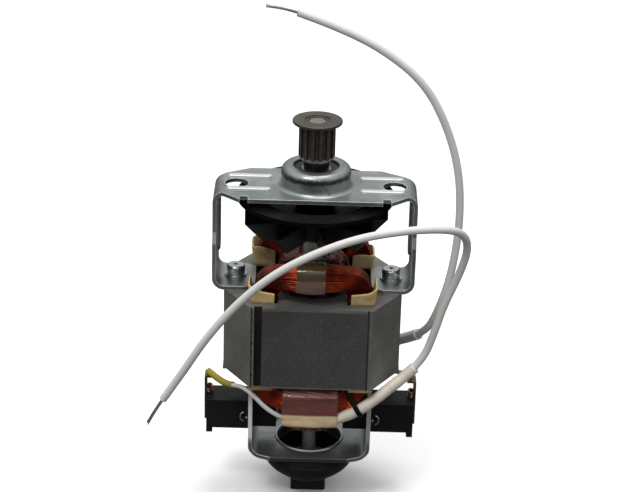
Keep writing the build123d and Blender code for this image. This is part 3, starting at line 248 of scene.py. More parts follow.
def tube(line, radius, sides=10, closed=False, caps=True):
    """Vertices and faces of a round tube. The radius is one number or one for each point."""
    first, second = frames_along(line, closed)
    radius = np.broadcast_to(np.asarray(radius, float), (len(line),))
    angles = round_angles(sides)[None, :, None]
    ring = first[:, None] * np.cos(angles) + second[:, None] * np.sin(angles)
    verts = (line[:, None] + ring * radius[:, None, None]).reshape(-1, 3)
    faces = ring_faces(len(line), sides, closed)
    if caps and not closed:
        faces.append(tuple(range(sides - 1, -1, -1)))
        faces.append(tuple((len(line) - 1) * sides + i for i in range(sides)))
    return verts, faces


def hollow_tube(line, outer, bore, sides=32):
    """A tube with a bore and square ends."""
    verts_out, faces_out = tube(line, outer, sides, caps=False)
    verts_in, faces_in = tube(line, bore, sides, caps=False)
    shift = len(verts_out)
    faces = faces_out + [tuple(shift + i for i in reversed(face)) for face in faces_in]
    last = shift - sides
    for i in range(sides):
        j = (i + 1) % sides
        faces.append((j, i, shift + i, shift + j))
        faces.append((last + i, last + j, shift + last + j, shift + last + i))
    return np.concatenate([verts_out, verts_in]), faces


def give(obj, material):
    obj.data.materials.clear()
    obj.data.materials.append(material)
    return obj


def piece(name, parts, material, replaced=(), body="frame"):
    """An object from parts in millimetres that rides on a body and may replace CAD nodes."""
    faces, shift = [], 0
    for verts, part_faces in parts:
        faces += [tuple(shift + i for i in face) for face in part_faces]
        shift += len(verts)
    mesh = bpy.data.meshes.new(name)
    mesh.from_pydata((np.concatenate([verts for verts, _ in parts]) * MM).tolist(), [], faces)
    mesh.update()
    turned = bmesh.new()
    turned.from_mesh(mesh)
    bmesh.ops.recalc_face_normals(turned, faces=turned.faces)
    turned.to_mesh(mesh)
    turned.free()
    mesh.polygons.foreach_set("use_smooth", [True] * len(mesh.polygons))
    obj = give(link(bpy.data.objects.new(name, mesh)), material)
    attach(obj, body)
    if replaced:
        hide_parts(*replaced)
    return obj


def placed(parts, x, y):
    """Parts with their X and Y times 1 or -1."""
    return [(verts * np.array([x, y, 1]), faces) for verts, faces in parts]


# Field coils. A strand wanders in the left slot, at the top, in the right slot and at the bottom.
FIELD_WIRE_R = 0.25
FIELD_PITCH = 0.545
FIELD_LAYERS = 2
BUNDLE_ROUNDING = 0.42
COIL_WANDER = (0.05, 0.23, 0.05, 0.2)
END_OVERHANG = 0.02
CORE_INSET = 1.0


def arc_points(start, way, end, count):
    """Points of the arc that leaves start along way and ends at end, without its end."""
    chord = end - start
    reach = np.linalg.norm(chord)
    across = chord - way * (chord @ way)
    height = np.linalg.norm(across)
    shares = np.arange(count) / count
    if height < 1e-6 * reach:
        return start + shares[:, None] * chord
    half = math.atan2(height, chord @ way)
    radius = reach / (2 * math.sin(half))
    turn = 2 * half * shares[:, None]
    return start + radius * (np.sin(turn) * way + (1 - np.cos(turn)) * across / height)


def biarc_points(start, start_way, end, end_way, count=6):
    """Points of two arcs that leave start one way and reach end another way, without the end."""
    chord = end - start
    square = 2 * (1 - start_way @ end_way)
    along = chord @ (start_way + end_way)
    reach = (math.sqrt(along**2 + square * (chord @ chord)) - along) / square
    first, second = start + start_way * reach, end - end_way * reach
    joint = (first + second) / 2
    way = unit(second - first)
    return np.concatenate([arc_points(start, start_way, joint, count), arc_points(joint, way, end, count)])


def side_point(out, back, level, side):
    return np.array([side * (COIL_INNER_X + out), back - COIL_FRONT_Y, level])


def end_rise(out, sign):
    if sign < 0:
        return LOW_END_INNER_RISE + out * LOW_END_RISE_SCALE
    return END_INNER_RISE + out * END_RISE_SCALE


def end_point(out, back, sign):
    level = STACK_TOP if sign > 0 else STACK_LOW
    return np.array([0, back * END_DEPTH_SCALE - END_FRONT_Y, level + sign * end_rise(out, sign)])


def bend_point(out, back, sign, side):
    """Where a strand begins to bend: at once below the stack, and after a straight rise above it."""
    if sign < 0:
        return side_point(out, back, STACK_LOW, side)
    return side_point(out, back, STACK_TOP + RISE_STRAIGHT_SHARE * end_rise(out, sign), side)


def coil_loop(places):
    """One closed turn of a field coil through its places in the left slot, top, right slot and bottom."""
    left, top, right, low = places
    up, across = np.array([0, 0, 1.0]), np.array([1.0, 0, 0])
    middle = (STACK_TOP + STACK_LOW) / 2
    return np.concatenate([
        side_point(*left, middle, -1)[None],
        biarc_points(bend_point(*left, 1, -1), up, end_point(*top, 1), across),
        biarc_points(end_point(*top, 1), across, bend_point(*right, 1, 1), -up),
        bend_point(*right, 1, 1)[None],
        side_point(*right, middle, 1)[None],
        biarc_points(bend_point(*right, -1, 1), -up, end_point(*low, -1), -across),
        biarc_points(end_point(*low, -1), -across, bend_point(*left, -1, -1), up),
        bend_point(*left, -1, -1)[None],
    ])


def pulled_in(out, back):
    """A strand's place in an end turn, where the bundle's corners are round."""
    u, v = 2 * out / COIL_WIDTH - 1, 2 * back / COIL_DEPTH - 1
    u_round = u * math.sqrt(max(0.0, 1 - BUNDLE_ROUNDING * v * v / 2))
    v_round = v * math.sqrt(max(0.0, 1 - BUNDLE_ROUNDING * u * u / 2))
    return (u_round + 1) * COIL_WIDTH / 2, (v_round + 1) * COIL_DEPTH / 2


def field_coil_parts():
    """The outer layers of turns all round the bundle, each turn a little out of line, and a core."""
    columns = int(COIL_WIDTH / FIELD_PITCH) + 1
    rows = int(COIL_DEPTH / FIELD_PITCH) + 1
    parts = []
    for column in range(columns):
        for row in range(rows):
            if min(column, row, columns - 1 - column, rows - 1 - row) >= FIELD_LAYERS:
                continue
            places = []
            for at_end, wander in zip((False, True, False, True), COIL_WANDER):
                out = column * (COIL_WIDTH / (columns - 1)) + dice.uniform(-wander, wander)
                back = row * (COIL_DEPTH / (rows - 1)) + dice.uniform(-wander, wander)
                least = -END_OVERHANG if at_end else 0.0
                place = min(max(out, least), COIL_WIDTH), min(max(back, least), COIL_DEPTH)
                places.append(pulled_in(*place) if at_end else place)
            parts.append(tube(coil_loop(places), FIELD_WIRE_R, sides=6, closed=True))
    outs, backs = (CORE_INSET, COIL_WIDTH - CORE_INSET), (CORE_INSET, COIL_DEPTH - CORE_INSET)
    corners = [(outs[0], backs[0]), (outs[1], backs[0]), (outs[1], backs[1]), (outs[0], backs[1])]
    loops = np.stack([coil_loop([corner] * 4) for corner in corners], axis=1)
    parts.append((loops.reshape(-1, 3), ring_faces(len(loops), len(corners), closed=True)))
    return parts


def strand_at(out, back, sign, x):
    """The place where a strand of the field coil crosses a plane square to X."""
    way, left = np.array([0, 0, float(sign)]), np.array([-1.0, 0, 0])
    end = end_point(out, back, sign)
    line = biarc_points(bend_point(out, back, sign, 1), way, end, left, 24)
    line = np.concatenate([line, end[None]])[::-1]
    return np.interp(abs(x), line[:, 0], line[:, 1]), np.interp(abs(x), line[:, 0], line[:, 2])


# Armature winding: layers and domes as shares of its radius and rise, angles in radians
ARMATURE_SLOTS = 12
ARMATURE_SPAN = 5
ARMATURE_STRANDS = 16
ARMATURE_WIRE_R = 0.24
WINDING_R = 14.2
WINDING_TOP_RISE = 11.5
WINDING_LOW_RISE = 10.0
DOME_SHARES = [(0.94, -0.06), (1.0, 0.1), (1.0, 0.45), (0.96, 0.67), (0.86, 0.86), (0.62, 0.99), (0.4, 0.94)]
DOME_SCALE = 0.9
DOME_BORE_R = 4.6
DOME_SIDES = 48
FIRST_LAYER = 0.90
LAYER_SPAN = 0.085
LAYER_STRAY = 0.012
CLIMB_POWER = 0.85
CLIMB_POWER_SPREAD = 0.25
CLIMB_REACH = 0.84
CLIMB_REACH_SPREAD = 0.14
SWEEP_EASE = 0.72
BUNDLE_HALF_ANGLE = 0.075
BUNDLE_SWELL_ANGLE = 0.13
ANGLE_STRAY = 0.01
SLOT_WIRE_R = 0.27
SLOT_WIRE_PLACE_R = 13.2
SLOT_WIRE_OFFSETS = (-0.55, 0.0, 0.55)
SLOT_WIRE_DIP = 0.3
COMMUTATOR_BARS = 24
RISER_HALF_GAP = 0.05
RISER_LAG = 0.35
RISER_START_R = 10.6
RISER_SPREAD = 1.3
RISER_TOP = -75.5
RISER_DROP = 6.9


def dome_outline(rise, scale):
    """Radius and rise of the end turns' dome, from the slots up, over, and in towards the shaft."""
    return np.array([(r * WINDING_R * scale, z * rise * scale) for r, z in DOME_SHARES])


def end_bundle(slot, strand, level, sign, rise):
    """One strand of a coil: out of a slot, over the dome past the shaft, and into the fifth slot on."""
    layer = FIRST_LAYER + LAYER_SPAN * slot / (ARMATURE_SLOTS - 1) + dice.uniform(-LAYER_STRAY, LAYER_STRAY)
    spread = ((strand + 0.5) / ARMATURE_STRANDS - 0.5) * 2
    turn = np.linspace(0, 1, 30)
    climb = np.sin(math.pi * turn) ** (CLIMB_POWER + CLIMB_POWER_SPREAD * spread)
    outline = dome_outline(rise, layer)
    reach = climb * (CLIMB_REACH + CLIMB_REACH_SPREAD * spread) * lengths_along(outline)[-1]
    radius, height = at_lengths(outline, reach).T
    sweep = turn - SWEEP_EASE * np.sin(2 * math.pi * turn) / (2 * math.pi)
    width = BUNDLE_HALF_ANGLE + BUNDLE_SWELL_ANGLE * np.sin(math.pi * turn) ** 2
    angle = 2 * math.pi / ARMATURE_SLOTS * (slot + ARMATURE_SPAN * sweep) + spread * width
    angle = angle + dice.uniform(-ANGLE_STRAY, ANGLE_STRAY)
    return np.column_stack([radius * np.cos(angle), radius * np.sin(angle), level + sign * height])


def armature_loops(level, sign, rise):
    """The end turns at one end, over a plain dome that fills the space under them."""
    outline = dome_outline(rise, DOME_SCALE)
    outline = np.concatenate([outline, [(DOME_BORE_R, outline[-1, 1]), (DOME_BORE_R, outline[0, 1])]])
    angles = round_angles(DOME_SIDES)
    verts = [(r * math.cos(a), r * math.sin(a), level + sign * z) for r, z in outline for a in angles]
    parts = [(np.array(verts), ring_faces(len(outline), DOME_SIDES, closed=True))]
    for slot in range(ARMATURE_SLOTS):
        for strand in range(ARMATURE_STRANDS):
            parts.append(tube(end_bundle(slot, strand, level, sign, rise), ARMATURE_WIRE_R, sides=6))
    return parts


def slot_wires():
    """The wires that show in the armature's slot openings."""
    parts = []
    for angle in round_angles(ARMATURE_SLOTS):
        for offset in SLOT_WIRE_OFFSETS:
            radial = np.array([math.cos(angle), math.sin(angle), 0])
            tangent = np.array([-math.sin(angle), math.cos(angle), 0])
            base = radial * (SLOT_WIRE_PLACE_R - abs(offset) * SLOT_WIRE_DIP) + tangent * offset
            line = [base + np.array([0, 0, z]) for z in np.linspace(STACK_LOW - 1, STACK_TOP + 1, 4)]
            parts.append(tube(np.array(line), SLOT_WIRE_R, sides=6))
    return parts


def riser_wires():
    """Pairs of wires from the lower end turns down to the commutator's risers."""
    parts = []
    turn = np.linspace(0, 1, 10)
    radius = RISER_START_R + RISER_SPREAD * turn**2
    for bar in range(COMMUTATOR_BARS):
        for shift in (-RISER_HALF_GAP, RISER_HALF_GAP):
            around = 2 * math.pi * (bar + 0.5) / COMMUTATOR_BARS + (shift - RISER_LAG) * (1 - turn)
            height = RISER_TOP - RISER_DROP * turn
            line = np.column_stack([radius * np.cos(around), radius * np.sin(around), height])
            parts.append(tube(line, ARMATURE_WIRE_R, sides=6))
    return parts


# Slot liners and their cuffs
SLOT_SIDE_X = 21.8
SLOT_END_Y = 20.6
SLOT_BEND_R = 1.2
LINER_THICKNESS = 0.3
LINER_ENDS = (STACK_LOW - 0.7, STACK_TOP + 0.3)
CUFF_THICKNESS = 0.8
CUFF_LEAN = (0.13, 0.165)
CUFF_START_X = 13.8
CUFF_START_Y = 9.6
CUFF_INNER_X = 14.4
CUFF_INNER_Y = 11.4
CUFF_FOOT = 0.4
CUFF_BEND_GROWTH = 1.6
CUFF_LEAST = 0.35
CUFF_EDGE_PULL = 0.45
CUFF_WAVE = 0.16
CUFF_SWAY = 0.14
CUFF_RISE_AND_FULLNESS = [(0, 1), (0.2, 1), (0.4, 1), (0.6, 1), (0.8, 1), (0.93, 0.9), (0.98, 0.6), (1, 0.25)]
LOW_CUFF_START_Y = 15.6
LOW_CUFF_HEIGHT = 3.0
LOW_CUFF_DROP_AND_LEAN = [(LOW_CUFF_HEIGHT, 1.0), (0.6, 0.2)]


def bent_line(corners, radius, step=0.45):
    """A plan line through corners, each rounded, as points a step apart."""
    corners = np.array(corners, float)
    stretches = [corners[:1]]
    for before, corner, after in zip(corners, corners[1:], corners[2:]):
        first, last = corner - unit(corner - before) * radius, corner + unit(after - corner) * radius
        stretches.append(bow(first, corner, last, 9))
    return evenly(np.concatenate([*stretches, corners[-1:]]), step)


def wall(rows):
    """A thin wall from rows of outer and inner points, closed at its ends, foot and top."""
    verts = np.concatenate([np.concatenate([outer, inner[::-1]]) for outer, inner in rows])
    count = len(rows[0][0])
    ring = 2 * count
    last = (len(rows) - 1) * ring
    faces = ring_faces(len(rows), ring)
    for i in range(count - 1):
        faces.append((i, ring - 1 - i, ring - 2 - i, i + 1))
        faces.append((last + i, last + i + 1, last + ring - 2 - i, last + ring - 1 - i))
    return verts, faces


def cuff_row(corners, thickness, level=0.0, radius=SLOT_BEND_R):
    """One row of a cuff's wall: outer points, and inner points a thickness inward."""
    outer = bent_line(corners, radius)
    way = ways_along(outer)
    inner = outer + np.column_stack([-way[:, 1], way[:, 0]]) * thickness
    z = np.full(len(outer), level)
    return np.column_stack([outer, z]), np.column_stack([inner, z])


def liner_parts(height, profile, closed):
    """The front right liner: a low cuff, a thin angle in its slot, and a soft uneven cuff on top. A closed
    one has a third side. The profile gives the top cuff's height along it."""
    foot = CUFF_THICKNESS - LINER_THICKNESS

    def corners(grow_x, grow_y, start_y):
        side, end = SLOT_SIDE_X + grow_x, SLOT_END_Y + grow_y
        line = [(CUFF_START_X, -end), (side, -end), (side, -start_y)]
        if closed and start_y == CUFF_INNER_Y:
            line.append((CUFF_INNER_X, -start_y))
        return line

    low_cuff = []
    for drop, lean in LOW_CUFF_DROP_AND_LEAN:
        grow = [foot + share * LOW_CUFF_HEIGHT * lean for share in CUFF_LEAN]
        low_cuff.append(cuff_row(corners(*grow, LOW_CUFF_START_Y), CUFF_THICKNESS, STACK_LOW - drop))
    angle = [cuff_row(corners(0, 0, CUFF_START_Y), LINER_THICKNESS, level) for level in LINER_ENDS]
    top_cuff = []
    phase = dice.uniform(0, 6)
    for share, full in CUFF_RISE_AND_FULLNESS:
        rise = share * height
        grow = [foot + lean * rise - CUFF_EDGE_PULL * (1 - full) for lean in CUFF_LEAN]
        line = corners(*grow, CUFF_INNER_Y if closed else CUFF_START_Y)
        thickness = CUFF_THICKNESS * (CUFF_LEAST + (1 - CUFF_LEAST) * full)
        row = cuff_row(line, thickness, radius=SLOT_BEND_R + CUFF_BEND_GROWTH * share)
        for side in row:
            spots = np.linspace(0, 1, len(side))
            reach = (rise + CUFF_FOOT) * np.interp(spots, *profile)
            side[:, 2] = STACK_TOP - CUFF_FOOT + reach + CUFF_WAVE * np.sin(9 * spots + phase) * share
            side[:, 0] += CUFF_SWAY * np.sin(7 * spots + 2 * share + phase) * share
            side[:, 1] += CUFF_SWAY * np.cos(6 * spots + 3 * share + phase) * share
        top_cuff.append(row)
    count = min(len(outer) for outer, _ in top_cuff)
    for i, row in enumerate(top_cuff):
        index = np.arange(len(row[0]))
        fine = np.linspace(0, index[-1], count)
        top_cuff[i] = [np.column_stack([np.interp(fine, index, v) for v in side.T]) for side in row]
    return [wall(low_cuff), wall(angle), wall(top_cuff)]


# Sleeve tie: its section as shifts outward and along the sleeve
TIE_SHARE_ALONG = 0.42
TIE_SLEEVE_GAP = 0.12
TIE_STRAND_R = 0.4
TIE_SECTION = [(0.0, -0.85), (0.4, -0.9), (0.45, -0.6), (0.45, 0.6), (0.4, 0.9), (0.0, 0.85)]


def coil_crossings(place, way):
    """Where the front coil's edge strands cross the plane through a place, square to a way."""
    down, left = np.array([0, 0, -1.0]), np.array([-1.0, 0, 0])
    found = []
    for out in (0, COIL_WIDTH / 2, COIL_WIDTH):
        for back in (0, COIL_DEPTH / 2, COIL_DEPTH):
            end = end_point(*pulled_in(out, back), -1)
            line = biarc_points(bend_point(out, back, -1, 1), down, end, left, 40)
            side = (line - place) @ way
            hits = np.nonzero(side[:-1] * side[1:] <= 0)[0]
            if len(hits):
                found.append(line[hits[0]])
    return found


def hull(points):
    """The convex hull of points in a plane, in order."""
    points = sorted(map(tuple, points))
    halves = []
    for run in (points, points[::-1]):
        chain = []
        for x, y in run:
            while len(chain) > 1:
                (x0, y0), (x1, y1) = chain[-2:]
                if (x1 - x0) * (y - y0) - (y1 - y0) * (x - x0) > 0:
                    break
                chain.pop()
            chain.append((x, y))
        halves += chain[:-1]
    return np.array(halves)


def tie_parts():
    """A band drawn tight round the front sleeve and the coil behind it."""
    line = evenly(route_line(FRONT_SLEEVE), step=0.5)
    spot = int(TIE_SHARE_ALONG * (len(line) - 1))
    place = line[spot]
    way = unit(line[spot + 2] - line[spot - 2])
    first = unit(np.cross(way, (0, -1.0, 0)))
    second = np.cross(way, first)
    angles = round_angles(40)
    circle = np.column_stack([np.cos(angles), np.sin(angles)])
    points = list(circle * (SLEEVE_R + TIE_SLEEVE_GAP))
    for crossing in coil_crossings(place, way):
        middle = np.array([(crossing - place) @ first, (crossing - place) @ second])
        points += list(middle + circle * TIE_STRAND_R)
    loop = hull(points)
    loop = evenly(np.concatenate([loop, loop[:1]]), step=0.4)[:-1]
    tangent = ways_along(loop, closed=True)
    outward = np.column_stack([tangent[:, 1], -tangent[:, 0]])
    sections = []
    for shift, half in TIE_SECTION:
        flat = loop + outward * shift
        sections.append(place + flat[:, :1] * first + flat[:, 1:] * second + way * half)
    verts = np.stack(sections, axis=1).reshape(-1, 3)
    return [(verts, ring_faces(len(loop), len(sections), closed=True))]


# Details of the brush holders, the terminals and the lower bracket's hole
EYELET_X = 24.3
EYELET_Y = 6.15
EYELET_DROP = 0.8
EYELET_HALF_X = 1.8
EYELET_HALF_Z = 1.95
EYELET_HALF_TURN = 1.35
EYELET_END_R = 0.12
EYELET_SWELL = 0.24
PIN_X = 23.7
PIN_Y = 6.0
PIN_DROP = 1.2
PIN_REACHES = (0.0, 0.25, 0.45, 0.5)
PIN_RADII = (0.55, 0.55, 0.4, 0.12)
WRAP_SIDES_AND_TURNS = ((-1, 2.6), (1, 3.1))
WRAP_X = 38.3
WRAP_Y = 0.1
WRAP_LOW = -85.1
WRAP_HALF_X = 1.2
WRAP_HALF_Y = 2.3
WRAP_CLIMB = 0.13
WRAP_STRAY_AND_RATE = ((0.14, 0.37), (0.25, 0.61), (0.12, 1.7))
WRAP_WIRE_R = 0.4
HOLE_RIM_R = 12.62
HOLE_RIM_LEVEL = -102.95
HOLE_RIM_HALF = 0.52


def eyelet_parts():
    """On each face of each holder: the rolled outer edge of an eyelet, and a small pin beside it."""
    parts = []
    turn = np.linspace(-EYELET_HALF_TURN, EYELET_HALF_TURN, 24)
    for side in (-1, 1):
        for face in (-1, 1):
            edge = np.column_stack([
                side * (EYELET_X + EYELET_HALF_X * np.cos(turn)),
                np.full(len(turn), face * EYELET_Y),
                BRUSH_LEVEL - EYELET_DROP + EYELET_HALF_Z * np.sin(turn),
            ])
            parts.append(tube(edge, EYELET_END_R + EYELET_SWELL * np.cos(turn / 1.6), sides=10))
            pin = [(side * PIN_X, face * (PIN_Y + reach), BRUSH_LEVEL - PIN_DROP) for reach in PIN_REACHES]
            parts.append(tube(np.array(pin), PIN_RADII, sides=14))
    return parts


def wrap_parts():
    """A few loose turns of wire at the foot of each terminal, on the holder's top."""
    parts = []
    for side, turns in WRAP_SIDES_AND_TURNS:
        turn = np.linspace(0, turns * 2 * math.pi, int(40 * turns))
        stray_x, stray_y, stray_z = (stray * np.sin(rate * turn) for stray, rate in WRAP_STRAY_AND_RATE)
        x = side * (WRAP_X + (WRAP_HALF_X + stray_x) * np.cos(turn))
        y = WRAP_Y + (WRAP_HALF_Y + stray_y) * np.sin(turn)
        z = WRAP_LOW + WRAP_CLIMB * turn + stray_z
        parts.append(tube(np.column_stack([x, y, z]), WRAP_WIRE_R, sides=8))
    return parts


def rim_parts():
    """The rolled edge round the hole in the lower bracket's plate, a ring that carries a painted highlight."""
    line = [(HOLE_RIM_R * math.cos(a), HOLE_RIM_R * math.sin(a), HOLE_RIM_LEVEL) for a in round_angles(96)]
    return [tube(np.array(line), HOLE_RIM_HALF, sides=12, closed=True)]


# Tape bands. The low one's stations are X, the front's Y and the bottom's drop below the stack.
TAPE_THICKNESS = 0.16
TAPE_WRINKLE = 0.07
TAPE_EDGE_WAVER = 0.09
TOP_TAPE_LEFT = 6.0
TOP_TAPE_RIGHT = 4.4
TOP_TAPE_CLEAR = 0.66
LOW_TAPE_CLEAR = 0.6
LOW_TAPE_TOP_DROP = 1.4
LOW_TAPE_HEEL_Y = -16.6
LOW_TAPE_STATIONS = [
    (-10.2, -24.0, 17.1), (-5.0, -24.2, 17.4), (0.0, -24.3, 17.5), (5.0, -24.2, 17.4), (10.2, -24.0, 17.1),
]
LOW_TAPE_FRONT = [(2.3, 0), (1.0, 1.2), (0.35, 1.9), (-0.45, 2.6), (-0.4, 3.4), (0, 4.6), (0.1, 10.2)]
LOW_TAPE_FRONT_FOOT = 0.35


def rounded(points):
    """A closed outline with its corners cut off again and again."""
    points = np.asarray(points, float)
    for share in (0.15, 0.25, 0.25):
        way = np.roll(points, -1, axis=0) - points
        points = np.stack([points + way * share, points + way * (1 - share)], axis=1).reshape(-1, 2)
    return points


def tape_parts(stations):
    """A surface lofted through outlines that are square to X, with faint creases."""
    xs = [x for x, _ in stations]
    outlines = np.array([rounded(outline) for _, outline in stations])
    count = outlines.shape[1]
    around = round_angles(count)
    fine = np.linspace(xs[0], xs[-1], 25)
    phase = [dice.uniform(0, 6.28) for _ in range(6)]
    rows = []
    for x in fine:
        spots = outlines.swapaxes(0, 1)
        outline = np.array([[np.interp(x, xs, values) for values in spot.T] for spot in spots])
        out = outline - outline.mean(axis=0)
        out /= np.linalg.norm(out, axis=1)[:, None]
        wave = np.sin(around * 9 + x * 0.9 + phase[0]) * np.sin(x * 1.7 + phase[1])
        wave += 0.6 * np.sin(around * 17 - x * 1.3 + phase[2])
        outline = outline + out * (TAPE_WRINKLE * wave)[:, None]
        at_edge = 1 if x in (fine[0], fine[-1]) else 0
        edge = TAPE_EDGE_WAVER * np.sin(around * 5 + phase[3]) * at_edge
        rows.append(np.column_stack([x + edge, outline]))
    return [(np.concatenate(rows), ring_faces(len(rows), count))]


def top_tape_stations():
    """Outlines round the top end turns of the front coil."""
    stations = []
    for x in np.linspace(-TOP_TAPE_LEFT, TOP_TAPE_RIGHT, 7):
        outline = []
        for out, back in ((0, 0), (COIL_WIDTH, 0), (COIL_WIDTH, COIL_DEPTH), (0, COIL_DEPTH)):
            y, z = strand_at(out, back, 1, x)
            y += TOP_TAPE_CLEAR if back else -TOP_TAPE_CLEAR
            z += TOP_TAPE_CLEAR if out else -TOP_TAPE_CLEAR
            outline.append((y, z))
        stations.append((x, outline))
    return stations


def low_tape_stations():
    """Outlines round the low end turns and the sleeves' ends: folded at the front, flat on top."""
    flat = STACK_LOW - LOW_TAPE_TOP_DROP
    stations = []
    for x, front, drop in LOW_TAPE_STATIONS:
        behind_y, behind_z = strand_at(COIL_WIDTH, COIL_DEPTH, -1, x)
        y_back = max(behind_y, strand_at(0, COIL_DEPTH, -1, x)[0]) + LOW_TAPE_CLEAR
        outline = [(front + out, flat - down) for out, down in LOW_TAPE_FRONT]
        outline += [(front + LOW_TAPE_FRONT_FOOT, STACK_LOW - drop), (LOW_TAPE_HEEL_Y, STACK_LOW - drop)]
        outline += [(y_back, behind_z - LOW_TAPE_CLEAR), (y_back, flat)]
        stations.append((x, outline))
    return stations


# Materials. Sizes are in millimetres. The first three values are a mix node's colour sockets.
MIX_FIRST = 6
MIX_SECOND = 7
MIX_RESULT = 2
TWO_STOPS = (0.3, 0.7)


def rgba(color):
    return (*color, 1) if isinstance(color, tuple) else color


def scaled(color, factor):
    return tuple(min(1.0, c * factor) for c in color)


def tones(color, spread):
    """A darker and a lighter tone of one colour."""
    return scaled(color, 1 - spread), scaled(color, 1 + spread)


class Nodes:
    """Short ways to add to a node tree."""

    def __init__(self, tree, coordinates="Object"):
        self.tree = tree
        self.place = self.new("ShaderNodeTexCoord").outputs[coordinates]

    def feed(self, node, inputs):
        """Sets a node's inputs, or links them where the value is another node's output."""
        for key, value in inputs.items():
            if isinstance(value, bpy.types.NodeSocket):
                self.tree.links.new(value, node.inputs[key])
            else:
                node.inputs[key].default_value = value

    def new(self, kind, inputs=None, **values):
        node = self.tree.nodes.new(kind)
        for key, value in values.items():
            setattr(node, key, value)
        self.feed(node, inputs or {})
        return node

    def calc(self, operation, *values):
        return self.new("ShaderNodeMath", dict(enumerate(values)), operation=operation).outputs["Value"]

    def along(self, axis):
        """The place along an axis, in metres."""
        return self.new("ShaderNodeSeparateXYZ", {"Vector": self.place}).outputs[axis]

    def ranged(self, value, low, high, from_low=TWO_STOPS[0], from_high=TWO_STOPS[1]):
        """Low where the value is from_low, high where it is from_high, and held there beyond."""
        ends = {"From Min": from_low, "From Max": from_high, "To Min": low, "To Max": high}
        return self.new("ShaderNodeMapRange", {"Value": value, **ends}).outputs["Result"]

    def level(self, low, high, axis="Z"):
        """0 below the lower height and 1 above the upper one, or so along another axis."""
        return self.ranged(self.along(axis), 0, 1, low * MM, high * MM)

    def ramp(self, value, *colors, stops=TWO_STOPS):
        node = self.new("ShaderNodeValToRGB", {"Fac": value})
        elements = node.color_ramp.elements
        while len(elements) < len(stops):
            elements.new(0.5)
        for element, position, color in zip(elements, stops, colors):
            element.position = position
            element.color = rgba(color)
        return node.outputs["Color"]

    def mixed(self, share, first, second):
        """The first colour where the share is 0, and the second where it is 1."""
        inputs = {"Factor": share, MIX_FIRST: rgba(first), MIX_SECOND: rgba(second)}
        return self.new("ShaderNodeMix", inputs, data_type="RGBA").outputs[MIX_RESULT]

    def noise(self, size, detail=3.0, roughness=0.55, scale=(1, 1, 1), distortion=0.0):
        """Noise with features about that size."""
        return self.new("ShaderNodeTexNoise", {
            "Vector": self.new("ShaderNodeMapping", {"Vector": self.place, "Scale": scale}).outputs["Vector"],
            "Scale": 0.5 / (size * MM), "Detail": detail, "Roughness": roughness, "Distortion": distortion,
        }).outputs["Fac"]

    def sheet_lines(self, pitch):
        """Fine level lines with a pitch."""
        inputs = {"Vector": self.place, "Scale": 0.1 / (pitch * MM)}
        node = self.new("ShaderNodeTexWave", inputs, wave_type="BANDS", bands_direction="Z")
        return node.outputs["Fac"]

    def edges(self, reach):
        """1 along sharp edges and 0 on flats: how far the rounded normal leans off the flat one."""
        soft = self.new("ShaderNodeBevel", {"Radius": reach * MM}, samples=6).outputs["Normal"]
        flat = self.new("ShaderNodeNewGeometry").outputs["Normal"]
        alike = self.new("ShaderNodeVectorMath", {0: soft, 1: flat}, operation="DOT_PRODUCT")
        return self.ranged(alike.outputs["Value"], 1, 0, 0.80, 0.97)


class Finish(Nodes):
    """A material. Its edges look rounded where an edge size is given."""

    def __init__(self, name, metallic=0.0, specular=0.5, coat=0.0, coat_roughness=0.1, edge=0.0):
        self.material = bpy.data.materials.new(name)
        self.material.use_nodes = True
        super().__init__(self.material.node_tree)
        self.shader = self.tree.nodes["Principled BSDF"]
        self.feed(self.shader, {
            "Metallic": metallic, "Specular IOR Level": specular,
            "Coat Weight": coat, "Coat Roughness": coat_roughness,
        })
        self.normal = None
        if edge:
            self.normal = self.new("ShaderNodeBevel", {"Radius": edge * MM}, samples=4).outputs["Normal"]

    def done(self, color, rough, *bumps):
        """The material with its colour, roughness, and bumps as height, depth and strength."""
        for height, depth, strength in bumps:
            inputs = {"Height": height, "Distance": depth * MM, "Strength": strength}
            if self.normal is not None:
                inputs["Normal"] = self.normal
            self.normal = self.new("ShaderNodeBump", inputs).outputs["Normal"]
        self.feed(self.shader, {"Base Color": color, "Roughness": rough})
        if self.normal is not None:
            self.feed(self.shader, {"Normal": self.normal})
        return self.material


def plain_metal(name, color, rough, spread=0.12, patch=6.0):
    """Metal with slightly uneven tone and gloss."""
    finish = Finish(name, metallic=1.0, edge=0.2)
    streaks = finish.noise(0.5, 4)
    base = finish.ramp(finish.noise(patch, 4), *tones(color, spread))
    return finish.done(base, finish.ranged(streaks, rough - 0.07, rough + 0.09), (streaks, 0.01, 0.5))


# Painted highlights: where they lie on the pressed ribs, and on the legs' front edges
RIB_START_X = (13.9, 14.3)
RIB_LEVEL = (0.12, 0.3)
RIB_HIGHLIGHT = 0.45
LEG_FRONT_Y = (-15.0, -15.15)
LEG_LEVEL = (-99, -96)
LEG_HIGHLIGHT_FADE_X = (60, -30)


def rib_highlight(finish):
    """Painted highlight on the plate's pressed ribs, outside the cup's foot."""
    away = finish.calc("ABSOLUTE", finish.along("X"))
    outside = finish.ranged(away, 0, RIB_HIGHLIGHT, *(x * MM for x in RIB_START_X))
    return finish.calc("MULTIPLY", outside, finish.level(*RIB_LEVEL))


def leg_edge_highlight(finish):
    """Painted highlight on the front edges of the lower bracket's legs, more so on the left."""
    edges = finish.calc("MULTIPLY", finish.level(*LEG_FRONT_Y, "Y"), finish.level(*LEG_LEVEL))
    return finish.calc("MULTIPLY", edges, finish.level(*LEG_HIGHLIGHT_FADE_X, "X"))


